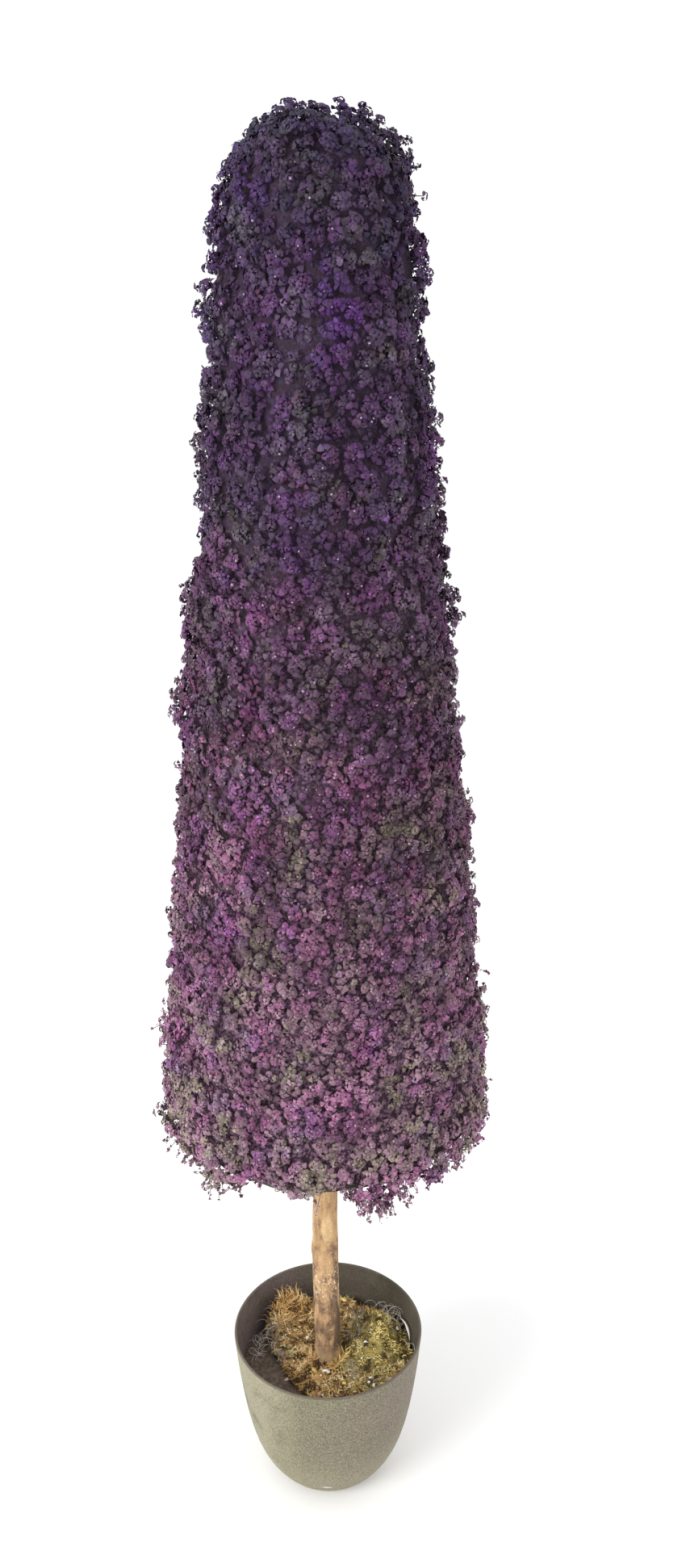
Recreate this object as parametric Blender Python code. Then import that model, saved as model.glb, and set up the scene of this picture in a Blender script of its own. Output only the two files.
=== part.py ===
"""A potted topiary tower, as sold ready made: a clipped column of tiny florets on a wooden pole.

Units are metres and +Z is up. The origin is the centre of the pot's flat underside.
The column is a stack of tiers round the pole. Each tier is a dense core, from which sprays of
sprigs stand out, and each sprig ends in a star-shaped floret. Azimuth 0 is +X, the right side,
and the front faces -Y.
"""

import math
import random

import bmesh
import bpy
from mathutils import Vector

GAP = 0.0003  # air between neighbouring pieces

# Pot: a rounded cup that narrows to a flat foot
POT_HEIGHT = 0.200
RIM_RADIUS = 0.1108
POT_SLOPE = 0.126  # how much of the rim's radius is lost evenly down the side
POT_BELLY = 0.150  # how much is lost slowly at first
POT_TURN = 0.239  # how much is lost in the turn to the foot
POT_TURN_POWER = 6.6
POT_WALL = 0.003
POT_FLOOR = 0.006
POT_SIDES = 40
POT_LEVELS = (1.0, 0.96, 0.90, 0.82, 0.70, 0.50, 0.30, 0.12)  # depths under the rim, foot first
RIM_STEPS = 3

# Filler that holds the pole, and the moss on it
FILLER_TOP = 0.140
MOSS_LEVEL = 0.009
MOSS_INNER = 0.0170
MOSS_OUTER = 0.1012
MOSS_RINGS = 5
MOSS_STEP = math.radians(14)
MOSS_LUMP = 0.0015
MOSS_LUMP_WAVES = (210, 190)  # radians per metre, across and deep
MOSS_EDGE_POWER = 5
MOSS_EDGE_DROP = 0.50
MOSS_HOLLOW_AZIMUTH = math.radians(-147)  # the moss stays short of the wall here
MOSS_HOLLOW_WIDTH = math.radians(58)
MOSS_HOLLOW_DEPTH = 0.049
MOSS_HEAPS = (  # x, y, spread, height
    (-0.050, 0.068, 0.034, 0.040),
    (0.060, 0.034, 0.040, 0.034),
    (0.031, 0.028, 0.014, -0.010),
    (0.022, 0.082, 0.014, 0.020),
    (0.010, -0.045, 0.030, 0.004),
    (0.0, 0.0, 0.026, 0.006),
)
MOSS_SECTORS = (  # name, first and last azimuth in degrees
    ("moss_brown", 63, 298),
    ("moss_green", -61, 62),
)

# Pole: a thin natural trunk, cut flat where it leaves the filler
POLE_FOOT_RADIUS = 0.0154
POLE_TIP_RADIUS = 0.0100
POLE_TIP = 1.420
POLE_SIDES = 16
POLE_TIP_CHAMFER = 0.003
POLE_BEND = 0.0022  # how far it bows to the left below the foliage
POLE_RING = 0.036
KNOT_HEIGHT = 0.315
KNOT_AZIMUTH = math.pi
KNOT_WIDTH = 0.5  # radians round the pole
KNOT_SIZE = 0.008
KNOT_RISE = 0.0018

# Clipped outline of the foliage
FOLIAGE_BOTTOM = 0.499
FOLIAGE_TOP = 1.500
BOTTOM_RADIUS = 0.181
TOP_RADIUS = 0.084  # of the cone, carried up to the very top
BELLY = 0.004
BELLY_SPAN = 0.70
EDGE_RADIUS = 0.018
EDGE_STEPS = 6
SIDE_STEPS = 30
UNDERSIDE = 0.016
DOME_HEIGHT = 0.110
DOME_POWER = 3.0
DOME_STEPS = 24
BULGES = (  # azimuth in degrees, height, how far it stands out or in
    (180, 1.410, 0.006),
    (178, 1.335, 0.007),
    (182, 1.225, 0.007),
    (180, 1.070, 0.008),
    (181, 0.975, 0.007),
    (180, 0.620, 0.004),
    (0, 1.465, 0.005),
    (0, 1.315, -0.007),
    (2, 1.060, 0.008),
    (0, 0.985, -0.008),
    (0, 0.905, -0.006),
    (0, 0.600, 0.003),
)
BULGE_WIDTH = math.radians(24)
BULGE_HEIGHT = 0.022
HANGING = -0.3  # florets that face down more than this follow the lower edge
EDGE_WAVES = (  # azimuth and width in degrees, how far the lower edge hangs or, below 0, is drawn up
    (-103, 19, -0.018),
    (-73, 9, 0.004),
    (-60, 6, -0.010),
    (-142, 5, -0.012),
    (112, 16, 0.010),
)
RIPPLE = 0.0014
RIPPLE_WAVES = ((3, 21.0), (5, 34.0), (7, 13.0), (4, 52.0), (9, 27.0))  # round, and per metre up

# Tiers: a core each, with sprigs, and a wavy seam between one and the next
TIER_EDGES = (0.512, 0.640, 0.780, 0.920, 1.060, 1.200, 1.340)
SEAM_WAVE = 0.005
SEAM_TURNS = 3
SEAM_MARGIN = 0.0008
CORE_DEPTH = 0.018
CORE_ROUGHNESS = 0.005
CORE_RIPPLE = 0.8  # how much of the outline's ripple the core follows
CORE_ROWS = 3
CORE_CROWN_ROWS = (0.0, 0.45, 0.75, 0.93, 0.99)  # from the shoulder to the top of the crown's core
CORE_CHAMFER = 0.008
ROW_SPACING = 0.048
ROW_MARGIN = 0.0225  # from a seam to the nearest row
ROW_JITTER = 0.0015
EDGE_ROW = 0.014  # from the start of the outline to the lowest row
APEX_ROW = 0.022  # from the apex to the topmost row
FLORET_SPACING = 0.0475  # along a row
SIDE_JITTER = 0.12  # in floret spacings
SPRAY_WIDTH = 0.095  # along a row, so a spray has about two florets of each row
SPRAY_GATHER = 0.35  # how far the roots of a spray are drawn together
FLORET_RADIUS = 0.0180
FLORET_LOBES = 4
FLORET_WAIST = 0.58
FLORET_BEND = 0.003  # how far the lobes' tips bend forward
FLORET_INSET = 0.006
FLORET_FACING = 3  # how much more a floret faces outwards than along its stalk
NECK_DROP = 0.007
STALK_RADIUS = 0.0024
STALK_TAPER = 0.75
ROOT_DEPTH = 0.008
SEED = 7


def clear_scene():
    """Removes whatever objects the file opened with."""
    for thing in list(bpy.data.objects):
        bpy.data.objects.remove(thing, do_unlink=True)


def material(name, colour, roughness):
    """A Principled material of one colour."""
    result = bpy.data.materials.new(name)
    result.use_nodes = True
    result.diffuse_color = (*colour, 1.0)
    shader = result.node_tree.nodes["Principled BSDF"]
    shader.inputs["Base Color"].default_value = (*colour, 1.0)
    shader.inputs["Roughness"].default_value = roughness
    shader.inputs["Metallic"].default_value = 0.0
    return result


def add_object(name, mesh, finish):
    """Puts a mesh in the scene as one named piece."""
    thing = bpy.data.objects.new(name, mesh)
    bpy.context.scene.collection.objects.link(thing)
    if finish:
        mesh.materials.append(finish)
    return thing


def mesh_from(name, points, faces, smooth_angle=None):
    """A mesh from points and faces, all faces turned outwards."""
    bm = bmesh.new()
    verts = [bm.verts.new(point) for point in points]
    for face in faces:
        bm.faces.new([verts[i] for i in face])
    bmesh.ops.recalc_face_normals(bm, faces=bm.faces)
    mesh = bpy.data.meshes.new(name)
    bm.to_mesh(mesh)
    bm.free()
    if smooth_angle:
        mesh.shade_smooth()
        mesh.set_sharp_from_angle(angle=smooth_angle)
    return mesh


def ring(radius, z, sides):
    """Points of a level regular polygon round the axis."""
    turns = [math.tau * i / sides for i in range(sides)]
    return [(radius * math.cos(a), radius * math.sin(a), z) for a in turns]


def capped_tube(rows, sides):
    """Faces that join rings of points into a tube and cap both its ends."""
    faces = [list(range(sides))]
    for row in range(rows - 1):
        low = row * sides
        for i in range(sides):
            j = (i + 1) % sides
            faces.append((low + i, low + j, low + sides + j, low + sides + i))
    top = (rows - 1) * sides
    faces.append(list(range(top, top + sides)))
    return faces


def turned(name, profile, sides, smooth_angle):
    """A closed solid of revolution from (radius, height) pairs, capped at both ends."""
    points = []
    for radius, z in profile:
        points += ring(radius, z, sides)
    return mesh_from(name, points, capped_tube(len(profile), sides), smooth_angle)


def pot_radius(z):
    """Outer radius of the pot at a height."""
    depth = max(0.0, 1.0 - z / POT_HEIGHT)
    lost = POT_SLOPE * depth + POT_BELLY * depth**2 + POT_TURN * depth**POT_TURN_POWER
    return RIM_RADIUS * (1.0 - lost)


def pot_inner_radius(z):
    """Inner radius of the pot, one wall's thickness in from its outer face."""
    step = 0.0005
    slope = (pot_radius(z + step) - pot_radius(z - step)) / (2 * step)
    return pot_radius(z) - POT_WALL * math.hypot(1.0, slope)


def inner_levels():
    """Heights at which the pot's inner wall is sampled, from its floor up."""
    heights = [POT_HEIGHT * (1.0 - depth) for depth in POT_LEVELS]
    return [POT_FLOOR] + [z for z in heights if z > POT_FLOOR * 1.5]


def build_pot():
    """The pot: flat underside, rounded side, rounded rim and an open inside."""
    outer = [(pot_radius(POT_HEIGHT * (1.0 - d)), POT_HEIGHT * (1.0 - d)) for d in POT_LEVELS]
    lip = POT_WALL / 2
    rim = []
    for i in range(RIM_STEPS + 1):
        turn = math.pi * i / RIM_STEPS
        rim.append((RIM_RADIUS - lip + lip * math.cos(turn), POT_HEIGHT - lip + lip * math.sin(turn)))
    inner = [(pot_inner_radius(z), z) for z in reversed(inner_levels())]
    mesh = turned("pot", outer + rim + inner, POT_SIDES, math.radians(35))
    add_object("pot", mesh, material("pot_grey", (0.21, 0.21, 0.19), 0.7))


def build_filler():
    """The plug that fills the pot up to the moss, clear of its wall and floor."""
    levels = [z for z in inner_levels() if z < FILLER_TOP - 0.004]
    profile = [(pot_inner_radius(levels[0]) - GAP, levels[0] + GAP)]
    profile += [(pot_inner_radius(z) - GAP, z) for z in levels[1:]]
    profile.append((pot_inner_radius(FILLER_TOP) - GAP, FILLER_TOP))
    mesh = turned("filler", profile, POT_SIDES, math.radians(40))
    add_object("filler", mesh, material("filler_dark", (0.05, 0.04, 0.035), 0.95))


def angle_between(a, b):
    """Smallest turn between two azimuths."""
    return abs((a - b + math.pi) % math.tau - math.pi)


def moss_reach(azimuth):
    """How far from the axis the moss reaches at an azimuth."""
    off = angle_between(azimuth, MOSS_HOLLOW_AZIMUTH) / MOSS_HOLLOW_WIDTH
    return MOSS_OUTER - MOSS_HOLLOW_DEPTH * math.exp(-(off**4))


def moss_height(x, y):
    """Height of the moss at a place, with its heaps and small lumps, falling at its edge."""
    height = MOSS_LEVEL
    for heap_x, heap_y, spread, rise in MOSS_HEAPS:
        off = math.hypot(x - heap_x, y - heap_y) / spread
        height += rise * math.exp(-(off**2))
    across, deep = MOSS_LUMP_WAVES
    height += MOSS_LUMP * math.sin(across * x + 1.0) * math.sin(deep * y + 2.0)
    edge = math.hypot(x, y) / moss_reach(math.atan2(y, x))
    return FILLER_TOP + GAP + height * (1.0 - MOSS_EDGE_DROP * edge**MOSS_EDGE_POWER)


def build_moss(name, first, last, finish):
    """One mat of moss between two azimuths: lumpy on top, flat on the filler."""
    steps = round((last - first) / MOSS_STEP)
    columns = [first + (last - first) * i / steps for i in range(steps + 1)]
    points = []
    for azimuth in columns:
        reach = moss_reach(azimuth)
        for j in range(MOSS_RINGS + 1):
            radius = MOSS_INNER + (reach - MOSS_INNER) * j / MOSS_RINGS
            x = radius * math.cos(azimuth)
            y = radius * math.sin(azimuth)
            points.append((x, y, moss_height(x, y)))
    width = MOSS_RINGS + 1
    base = len(points)
    for azimuth in columns:
        for radius in (MOSS_INNER, moss_reach(azimuth)):
            x = radius * math.cos(azimuth)
            y = radius * math.sin(azimuth)
            points.append((x, y, FILLER_TOP + GAP))
    faces = []
    for i in range(steps):
        a = i * width
        b = a + width
        for j in range(MOSS_RINGS):
            faces.append((a + j, b + j, b + j + 1))
            faces.append((a + j, b + j + 1, a + j + 1))
        c = base + 2 * i
        faces.append((c, c + 1, c + 3, c + 2))
        faces.append((a, c, c + 2, b))
        faces.append((a + MOSS_RINGS, b + MOSS_RINGS, c + 3, c + 1))
    for i in (0, steps):
        a = i * width
        c = base + 2 * i
        faces.append([c] + [a + j for j in range(width)] + [c + 1])
    add_object(name, mesh_from(name, points, faces, math.radians(50)), finish)


def pole_radius(z):
    """Radius of the pole, which tapers evenly from its foot to its tip."""
    rise = (z - FILLER_TOP) / (POLE_TIP - FILLER_TOP)
    return POLE_FOOT_RADIUS + (POLE_TIP_RADIUS - POLE_FOOT_RADIUS) * rise


def pole_centre(z):
    """Sideways place of the pole's axis: bowed a little where it shows, true inside the foliage."""
    rise = (z - FILLER_TOP) / (TIER_EDGES[0] - 0.01 - FILLER_TOP)
    if rise >= 1.0:
        return 0.0
    return -POLE_BEND * math.sin(math.pi * rise) ** 2


def build_pole():
    """The pole, whole from its flat foot on the filler to its tip inside the crown."""
    foot = FILLER_TOP + GAP
    shown = TIER_EDGES[0] - foot
    levels = {foot + shown * i / round(shown / POLE_RING) for i in range(round(shown / POLE_RING) + 1)}
    levels |= {KNOT_HEIGHT + KNOT_SIZE * k for k in (-1.5, -0.6, 0.0, 0.6, 1.5)}
    levels |= {(TIER_EDGES[0] + POLE_TIP) / 2, POLE_TIP - POLE_TIP_CHAMFER}
    profile = [(z, 1.0) for z in sorted(levels)] + [(POLE_TIP, 0.7)]
    points = []
    for z, shrink in profile:
        for i in range(POLE_SIDES):
            azimuth = math.tau * i / POLE_SIDES
            off = angle_between(azimuth, KNOT_AZIMUTH) / KNOT_WIDTH
            knot = KNOT_RISE * math.exp(-(((z - KNOT_HEIGHT) / KNOT_SIZE) ** 2) - off**2)
            radius = pole_radius(z) * shrink + knot
            x = pole_centre(z) + radius * math.cos(azimuth)
            points.append((x, radius * math.sin(azimuth), z))
    faces = capped_tube(len(profile), POLE_SIDES)
    mesh = mesh_from("trunk", points, faces, math.radians(40))
    add_object("trunk", mesh, material("pole_wood", (0.42, 0.28, 0.16), 0.8))


def side_radius(z):
    """Radius of the clipped column at a height, before its top rounds over."""
    rise = (z - FOLIAGE_BOTTOM) / (FOLIAGE_TOP - FOLIAGE_BOTTOM)
    swell = math.sin(math.pi * min(1.0, max(0.0, rise / BELLY_SPAN)))
    return BOTTOM_RADIUS + (TOP_RADIUS - BOTTOM_RADIUS) * rise + BELLY * swell


def outline():
    """The clipped outline as (radius, height) points, from the underside round to the apex."""
    edge = FOLIAGE_BOTTOM + EDGE_RADIUS
    middle = side_radius(edge) - EDGE_RADIUS
    points = [(middle - UNDERSIDE, FOLIAGE_BOTTOM)]
    for i in range(EDGE_STEPS + 1):
        turn = math.pi / 2 * (i / EDGE_STEPS - 1)
        points.append((middle + EDGE_RADIUS * math.cos(turn), edge + EDGE_RADIUS * math.sin(turn)))
    shoulder = FOLIAGE_TOP - DOME_HEIGHT
    for i in range(1, SIDE_STEPS + 1):
        z = edge + (shoulder - edge) * i / SIDE_STEPS
        points.append((side_radius(z), z))
    for i in range(1, DOME_STEPS + 1):
        turn = math.pi / 2 * i / DOME_STEPS
        z = shoulder + DOME_HEIGHT * math.sin(turn) ** (2 / DOME_POWER)
        points.append((side_radius(z) * max(0.0, math.cos(turn)) ** (2 / DOME_POWER), z))
    return points


OUTLINE = outline()
LENGTHS = [0.0]
for (r0, z0), (r1, z1) in zip(OUTLINE, OUTLINE[1:]):
    LENGTHS.append(LENGTHS[-1] + math.hypot(r1 - r0, z1 - z0))


def on_outline(length):
    """Radius, height and outward direction at a distance along the outline from its underside."""
    length = min(max(length, 0.0), LENGTHS[-1] - 1e-6)
    i = max(k for k in range(len(LENGTHS) - 1) if LENGTHS[k] <= length)
    (r0, z0), (r1, z1) = OUTLINE[i], OUTLINE[i + 1]
    span = LENGTHS[i + 1] - LENGTHS[i]
    t = (length - LENGTHS[i]) / span
    return r0 + (r1 - r0) * t, z0 + (z1 - z0) * t, (z1 - z0) / span, (r0 - r1) / span


def length_at(z):
    """Distance along the outline at which it passes a height on its side."""
    i = max(k for k in range(len(OUTLINE) - 1) if OUTLINE[k][1] <= z)
    share = (z - OUTLINE[i][1]) / (OUTLINE[i + 1][1] - OUTLINE[i][1])
    return LENGTHS[i] + (LENGTHS[i + 1] - LENGTHS[i]) * share


def ripple(azimuth, z):
    """How far the foliage stands out of its clean outline, by its bulges and a seeded ripple."""
    rng = random.Random(SEED)
    total = 0.0
    for turns, pitch in RIPPLE_WAVES:
        total += RIPPLE * math.sin(turns * azimuth + pitch * z + rng.uniform(0, math.tau))
    for degrees, height, reach in BULGES:
        off = angle_between(azimuth, math.radians(degrees)) / BULGE_WIDTH
        total += reach * math.exp(-(off**2) - ((z - height) / BULGE_HEIGHT) ** 2)
    return total


def hang(azimuth):
    """How far the lower edge hangs at an azimuth."""
    total = 0.0
    for degrees, width, depth in EDGE_WAVES:
        off = angle_between(azimuth, math.radians(degrees)) / math.radians(width)
        total += depth * math.exp(-(off**4))
    return total


def surface(length, azimuth):
    """A floret's place on the foliage's surface, and the direction that it faces."""
    radius, z, out, up = on_outline(length)
    stand = ripple(azimuth, z) - FLORET_INSET
    radius += out * stand
    z += up * stand
    if up < HANGING:
        z -= hang(azimuth)
    around = (math.cos(azimuth), math.sin(azimuth))
    place = Vector((radius * around[0], radius * around[1], z))
    return place, Vector((out * around[0], out * around[1], up))


def seam(tier, azimuth):
    """Height of the seam under a tier, or over the last one, at an azimuth."""
    if tier == 0:
        return TIER_EDGES[0]
    if tier == len(TIER_EDGES):
        return FOLIAGE_TOP - CORE_DEPTH
    return TIER_EDGES[tier] + SEAM_WAVE * math.sin(SEAM_TURNS * azimuth + 2 * tier)


def in_tier(tier, point):
    """Whether a point keeps clear of the seams that bound its tier."""
    azimuth = math.atan2(point.y, point.x)
    above = tier == 0 or point.z > seam(tier, azimuth) + SEAM_MARGIN
    below = tier == len(TIER_EDGES) - 1 or point.z < seam(tier + 1, azimuth) - SEAM_MARGIN
    return above and below


def triangle(centre, side, other, radius, spin):
    """Three points round a centre, in the plane of two directions."""
    turns = [spin + math.tau * i / 3 for i in range(3)]
    return [centre + radius * (math.cos(a) * side + math.sin(a) * other) for a in turns]


def sprig(root, place, facing, spin):
    """One closed solid: a three-sided stalk that opens into a star-shaped floret."""
    along = (place - root).normalized()
    side = along.orthogonal().normalized()
    other = along.cross(side)
    points = triangle(root, side, other, STALK_RADIUS, spin)
    points += triangle(place - facing * NECK_DROP, side, other, STALK_RADIUS * STALK_TAPER, spin)
    flat = (side - facing * side.dot(facing)).normalized()
    cross = facing.cross(flat)
    if cross.dot(other) < 0:
        cross = -cross
    count = 2 * FLORET_LOBES
    for i in range(count):
        turn = spin + math.tau * i / count
        radius = FLORET_RADIUS * (FLORET_WAIST if i % 2 else 1.0)
        lift = 0.0 if i % 2 else FLORET_BEND
        points.append(place + facing * lift + radius * (math.cos(turn) * flat + math.sin(turn) * cross))
    rim = [6 + i for i in range(count)]
    faces = [(0, 2, 1)]
    for i in range(3):
        j = (i + 1) % 3
        faces += [(i, j, 3 + j), (i, 3 + j, 3 + i)]
    neck = 0
    for i in range(count):
        faces.append((3 + neck, rim[(i + 1) % count], rim[i]))
        following = (i + 1) * 3 // count % 3
        if following != neck:
            faces.append((3 + neck, 3 + following, rim[(i + 1) % count]))
            neck = following
    waists = rim[1::2]
    for i in range(FLORET_LOBES):
        faces.append((waists[i - 1], rim[2 * i], waists[i]))
    faces.append(waists)
    return points, faces


def tier_sprigs(tier, rng):
    """Sprigs of one tier, in staggered rows, with their roots drawn together into sprays."""
    first = EDGE_ROW
    last = LENGTHS[-1] - APEX_ROW
    if tier > 0:
        first = length_at(TIER_EDGES[tier]) + ROW_MARGIN
    if tier < len(TIER_EDGES) - 1:
        last = length_at(TIER_EDGES[tier + 1]) - ROW_MARGIN
    gaps = round((last - first) / ROW_SPACING)
    depth = CORE_DEPTH + ROOT_DEPTH
    result = []
    for row in range(gaps + 1):
        share = row / gaps
        level = first + (last - first) * share
        radius = on_outline(level)[0]
        count = max(1, round(math.tau * radius / FLORET_SPACING))
        sprays = max(1, round(math.tau * radius / SPRAY_WIDTH))
        for i in range(count):
            azimuth = math.tau * (i + 0.5 * (row % 2) + rng.uniform(-SIDE_JITTER, SIDE_JITTER)) / count
            length = level + rng.uniform(-ROW_JITTER, ROW_JITTER)
            for edge, weight in ((tier, 1 - share), (tier + 1, share)):
                if 0 < edge < len(TIER_EDGES):
                    length += (seam(edge, azimuth) - TIER_EDGES[edge]) * weight
            shared = math.tau * round(azimuth / math.tau * sprays) / sprays
            below = surface(
                length + ((first + last) / 2 - length) * SPRAY_GATHER,
                azimuth + (shared - azimuth) * SPRAY_GATHER,
            )
            root = below[0] - below[1] * depth
            end, outward = surface(length, azimuth)
            facing = (outward * FLORET_FACING + (end - root).normalized()).normalized()
            points, faces = sprig(root, end, facing, rng.uniform(0, math.tau))
            if all(in_tier(tier, point) for point in points):
                result.append((points, faces))
    return result


def core_radius(azimuth, z, top):
    """Radius of a tier's core at a height, one depth inside the clipped outline."""
    radius = side_radius(z) - CORE_DEPTH + ripple(azimuth, z) * CORE_RIPPLE
    if top:
        shoulder = FOLIAGE_TOP - DOME_HEIGHT
        rise = max(0.0, (z - shoulder) / (DOME_HEIGHT - CORE_DEPTH))
        radius *= max(0.0, 1.0 - rise**DOME_POWER) ** (1 / DOME_POWER)
    return radius


def build_core(name, tier, rng):
    """A tier's core: a rough ring bored for the pole, and closed over in the topmost tier."""
    sides = 2 * POLE_SIDES
    top = tier == len(TIER_EDGES) - 1
    shares = [i / CORE_ROWS for i in range(CORE_ROWS + 1)]
    if top:
        height = FOLIAGE_TOP - CORE_DEPTH - TIER_EDGES[-1]
        shoulder = (FOLIAGE_TOP - DOME_HEIGHT - TIER_EDGES[-1]) / height
        shares = [0.0] + [shoulder + (1 - shoulder) * k for k in CORE_CROWN_ROWS]
    if tier == 0:
        shares.insert(1, CORE_CHAMFER / (TIER_EDGES[1] - TIER_EDGES[0]))
    points = []
    for k, share in enumerate(shares):
        for i in range(sides):
            azimuth = math.tau * i / sides
            floor = seam(tier, azimuth) + GAP / 2
            z = floor + (seam(tier + 1, azimuth) - GAP / 2 - floor) * share
            radius = core_radius(azimuth, z, top)
            radius += CORE_ROUGHNESS * min(1.0, radius / 0.06) * rng.uniform(-1, 1)
            if k == 0 and tier == 0:
                radius -= CORE_CHAMFER
            points.append((radius * math.cos(azimuth), radius * math.sin(azimuth), z))
    faces = []
    for row in range(len(shares) - 1):
        a = row * sides
        for i in range(sides):
            j = (i + 1) % sides
            faces.append((a + i, a + j, a + sides + j))
            faces.append((a + i, a + sides + j, a + sides + i))
    lower = len(points)
    upper = lower + POLE_SIDES
    for share in (0.0, 1.0):
        for i in range(POLE_SIDES):
            azimuth = math.tau * i / POLE_SIDES
            z = seam(tier + 1, azimuth) - GAP / 2 if share else seam(tier, azimuth) + GAP / 2
            if top and share:
                z = POLE_TIP + GAP
            radius = pole_radius(z) + GAP
            points.append((radius * math.cos(azimuth), radius * math.sin(azimuth), z))
    crown = (len(shares) - 1) * sides
    for i in range(POLE_SIDES):
        j = (i + 1) % POLE_SIDES
        faces += [(lower + i, upper + i, upper + j), (lower + i, upper + j, lower + j)]
        rims = [(0, lower)] if top else [(0, lower), (crown, upper)]
        for outer, inner in rims:
            a, b, c = outer + 2 * i, outer + 2 * i + 1, outer + (2 * i + 2) % sides
            faces += [(inner + i, a, b), (inner + i, b, inner + j), (inner + j, b, c)]
    if top:
        faces.append([upper + i for i in range(POLE_SIDES)])
        faces.append([crown + i for i in range(sides)])
    return add_object(name, mesh_from(name, points, faces), None)


def largest_shell(mesh):
    """Keeps the body with the greatest volume, which drops loose scraps and sealed hollows."""
    bm = bmesh.new()
    bm.from_mesh(mesh)
    bmesh.ops.triangulate(bm, faces=bm.faces)
    seen = set()
    shells = []
    for first in bm.faces:
        if first in seen:
            continue
        seen.add(first)
        shell = [first]
        for face in shell:
            for edge in face.edges:
                others = [other for other in edge.link_faces if other not in seen]
                if len(edge.link_faces) == 2 and others:
                    seen.add(others[0])
                    shell.append(others[0])
        shells.append(shell)
    volumes = []
    for shell in shells:
        total = 0.0
        for face in shell:
            a, b, c = (v.co for v in face.verts)
            total += a.dot(b.cross(c)) / 6
        volumes.append(total)
    keep = shells[volumes.index(max(volumes))]
    extra = set(bm.faces) - set(keep)
    bmesh.ops.delete(bm, geom=list(extra), context="FACES")
    bm.to_mesh(mesh)
    bm.free()


def fuse(core, sprigs):
    """Joins the sprigs to the core with one Boolean union on a collection."""
    group = bpy.data.collections.new(core.name + "_sprigs")
    bpy.context.scene.collection.children.link(group)
    for i, (points, faces) in enumerate(sprigs):
        name = f"{core.name}_sprig_{i}"
        group.objects.link(bpy.data.objects.new(name, mesh_from(name, points, faces)))
    union = core.modifiers.new("sprigs", "BOOLEAN")
    union.operation = "UNION"
    union.operand_type = "COLLECTION"
    union.collection = group
    union.solver = "EXACT"
    depsgraph = bpy.context.evaluated_depsgraph_get()
    fused = bpy.data.meshes.new_from_object(core.evaluated_get(depsgraph))
    core.modifiers.remove(union)
    core.data = fused
    for thing in list(group.objects):
        bpy.data.objects.remove(thing, do_unlink=True)
    bpy.data.collections.remove(group)
    largest_shell(fused)


def build_foliage():
    """All tiers of the column, from the lowest up to the crown."""
    finish = material("foliage_purple", (0.16, 0.085, 0.19), 0.6)
    for tier in range(len(TIER_EDGES)):
        last = tier == len(TIER_EDGES) - 1
        name = "foliage_crown" if last else f"foliage_tier_{tier + 1}"
        rng = random.Random(SEED + tier)
        core = build_core(name, tier, rng)
        fuse(core, tier_sprigs(tier, rng))
        core.data.materials.clear()
        core.data.materials.append(finish)


def main():
    """Builds the whole plant in its pot."""
    clear_scene()
    build_pot()
    build_filler()
    for (name, first, last), colour in zip(MOSS_SECTORS, ((0.20, 0.12, 0.04), (0.20, 0.19, 0.05))):
        build_moss(name, math.radians(first), math.radians(last), material(name, colour, 0.95))
    build_pole()
    build_foliage()


main()
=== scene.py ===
"""Looks of an artificial topiary tower: moulded florets on stalks, a bark covered pole, moss, a pot.

It is run as a script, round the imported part. Sizes are in metres and +Z is up. Azimuth 0 is +X,
the viewer's right, and the front faces -Y.
"""

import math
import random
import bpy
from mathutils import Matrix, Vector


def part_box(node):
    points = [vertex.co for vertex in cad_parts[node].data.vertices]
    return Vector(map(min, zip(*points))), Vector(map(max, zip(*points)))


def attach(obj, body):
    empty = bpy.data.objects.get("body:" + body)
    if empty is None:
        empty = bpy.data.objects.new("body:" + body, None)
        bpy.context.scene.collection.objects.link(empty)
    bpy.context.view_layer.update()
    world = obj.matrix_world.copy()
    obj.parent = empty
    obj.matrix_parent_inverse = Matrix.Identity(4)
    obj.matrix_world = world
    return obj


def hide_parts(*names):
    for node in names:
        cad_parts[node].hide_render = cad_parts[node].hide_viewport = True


bl_info = {
    "name": "Potted topiary tower",
    "version": (1, 0, 0),
    "blender": (4, 5, 0),
    "location": "View3D > Sidebar > Topiary",
    "description": "Builds the looks of an artificial topiary tower in its pot",
    "category": "Add Mesh",
}

import bpy
import numpy as np
from bpy.props import FloatProperty, FloatVectorProperty, IntProperty, PointerProperty
from mathutils import Matrix, Vector, noise

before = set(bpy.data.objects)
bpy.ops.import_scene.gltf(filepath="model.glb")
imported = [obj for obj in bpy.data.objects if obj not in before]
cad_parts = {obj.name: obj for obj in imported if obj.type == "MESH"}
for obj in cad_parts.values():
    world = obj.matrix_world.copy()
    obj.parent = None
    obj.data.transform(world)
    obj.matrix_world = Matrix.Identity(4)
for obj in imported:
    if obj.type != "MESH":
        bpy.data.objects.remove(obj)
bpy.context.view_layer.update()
POT_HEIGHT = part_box("pot")[1][2]
FILLER_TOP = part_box("filler")[1][2]
POLE_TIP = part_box("trunk")[1][2]

TAU = math.tau
GAP = 0.0003

# Pot
POT_SLOPE = 0.126
POT_BELLY = 0.150
POT_TURN = 0.239
POT_TURN_POWER = 6.6
POT_FLOOR = 0.006
POT_FLOOR_INSET = 0.003
POT_SIDES = 96
RIM_TURNS = 8
RIM_TINT = (0.105, 0.080, 0.060)
SCUFF_TINT = (0.48, 0.47, 0.43)
SCRATCH = (-0.003, -0.080, 0.034)
SCRATCH_SIZE = (0.0085, 0.03, 0.0016)
SCRATCH_TINT = (0.85, 0.84, 0.80)
POT_DEPTHS = (1.0, 0.985, 0.96, 0.93, 0.90, 0.86, 0.82, 0.76, 0.70, 0.60, 0.50, 0.40, 0.30, 0.20, 0.12, 0.05)

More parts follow.
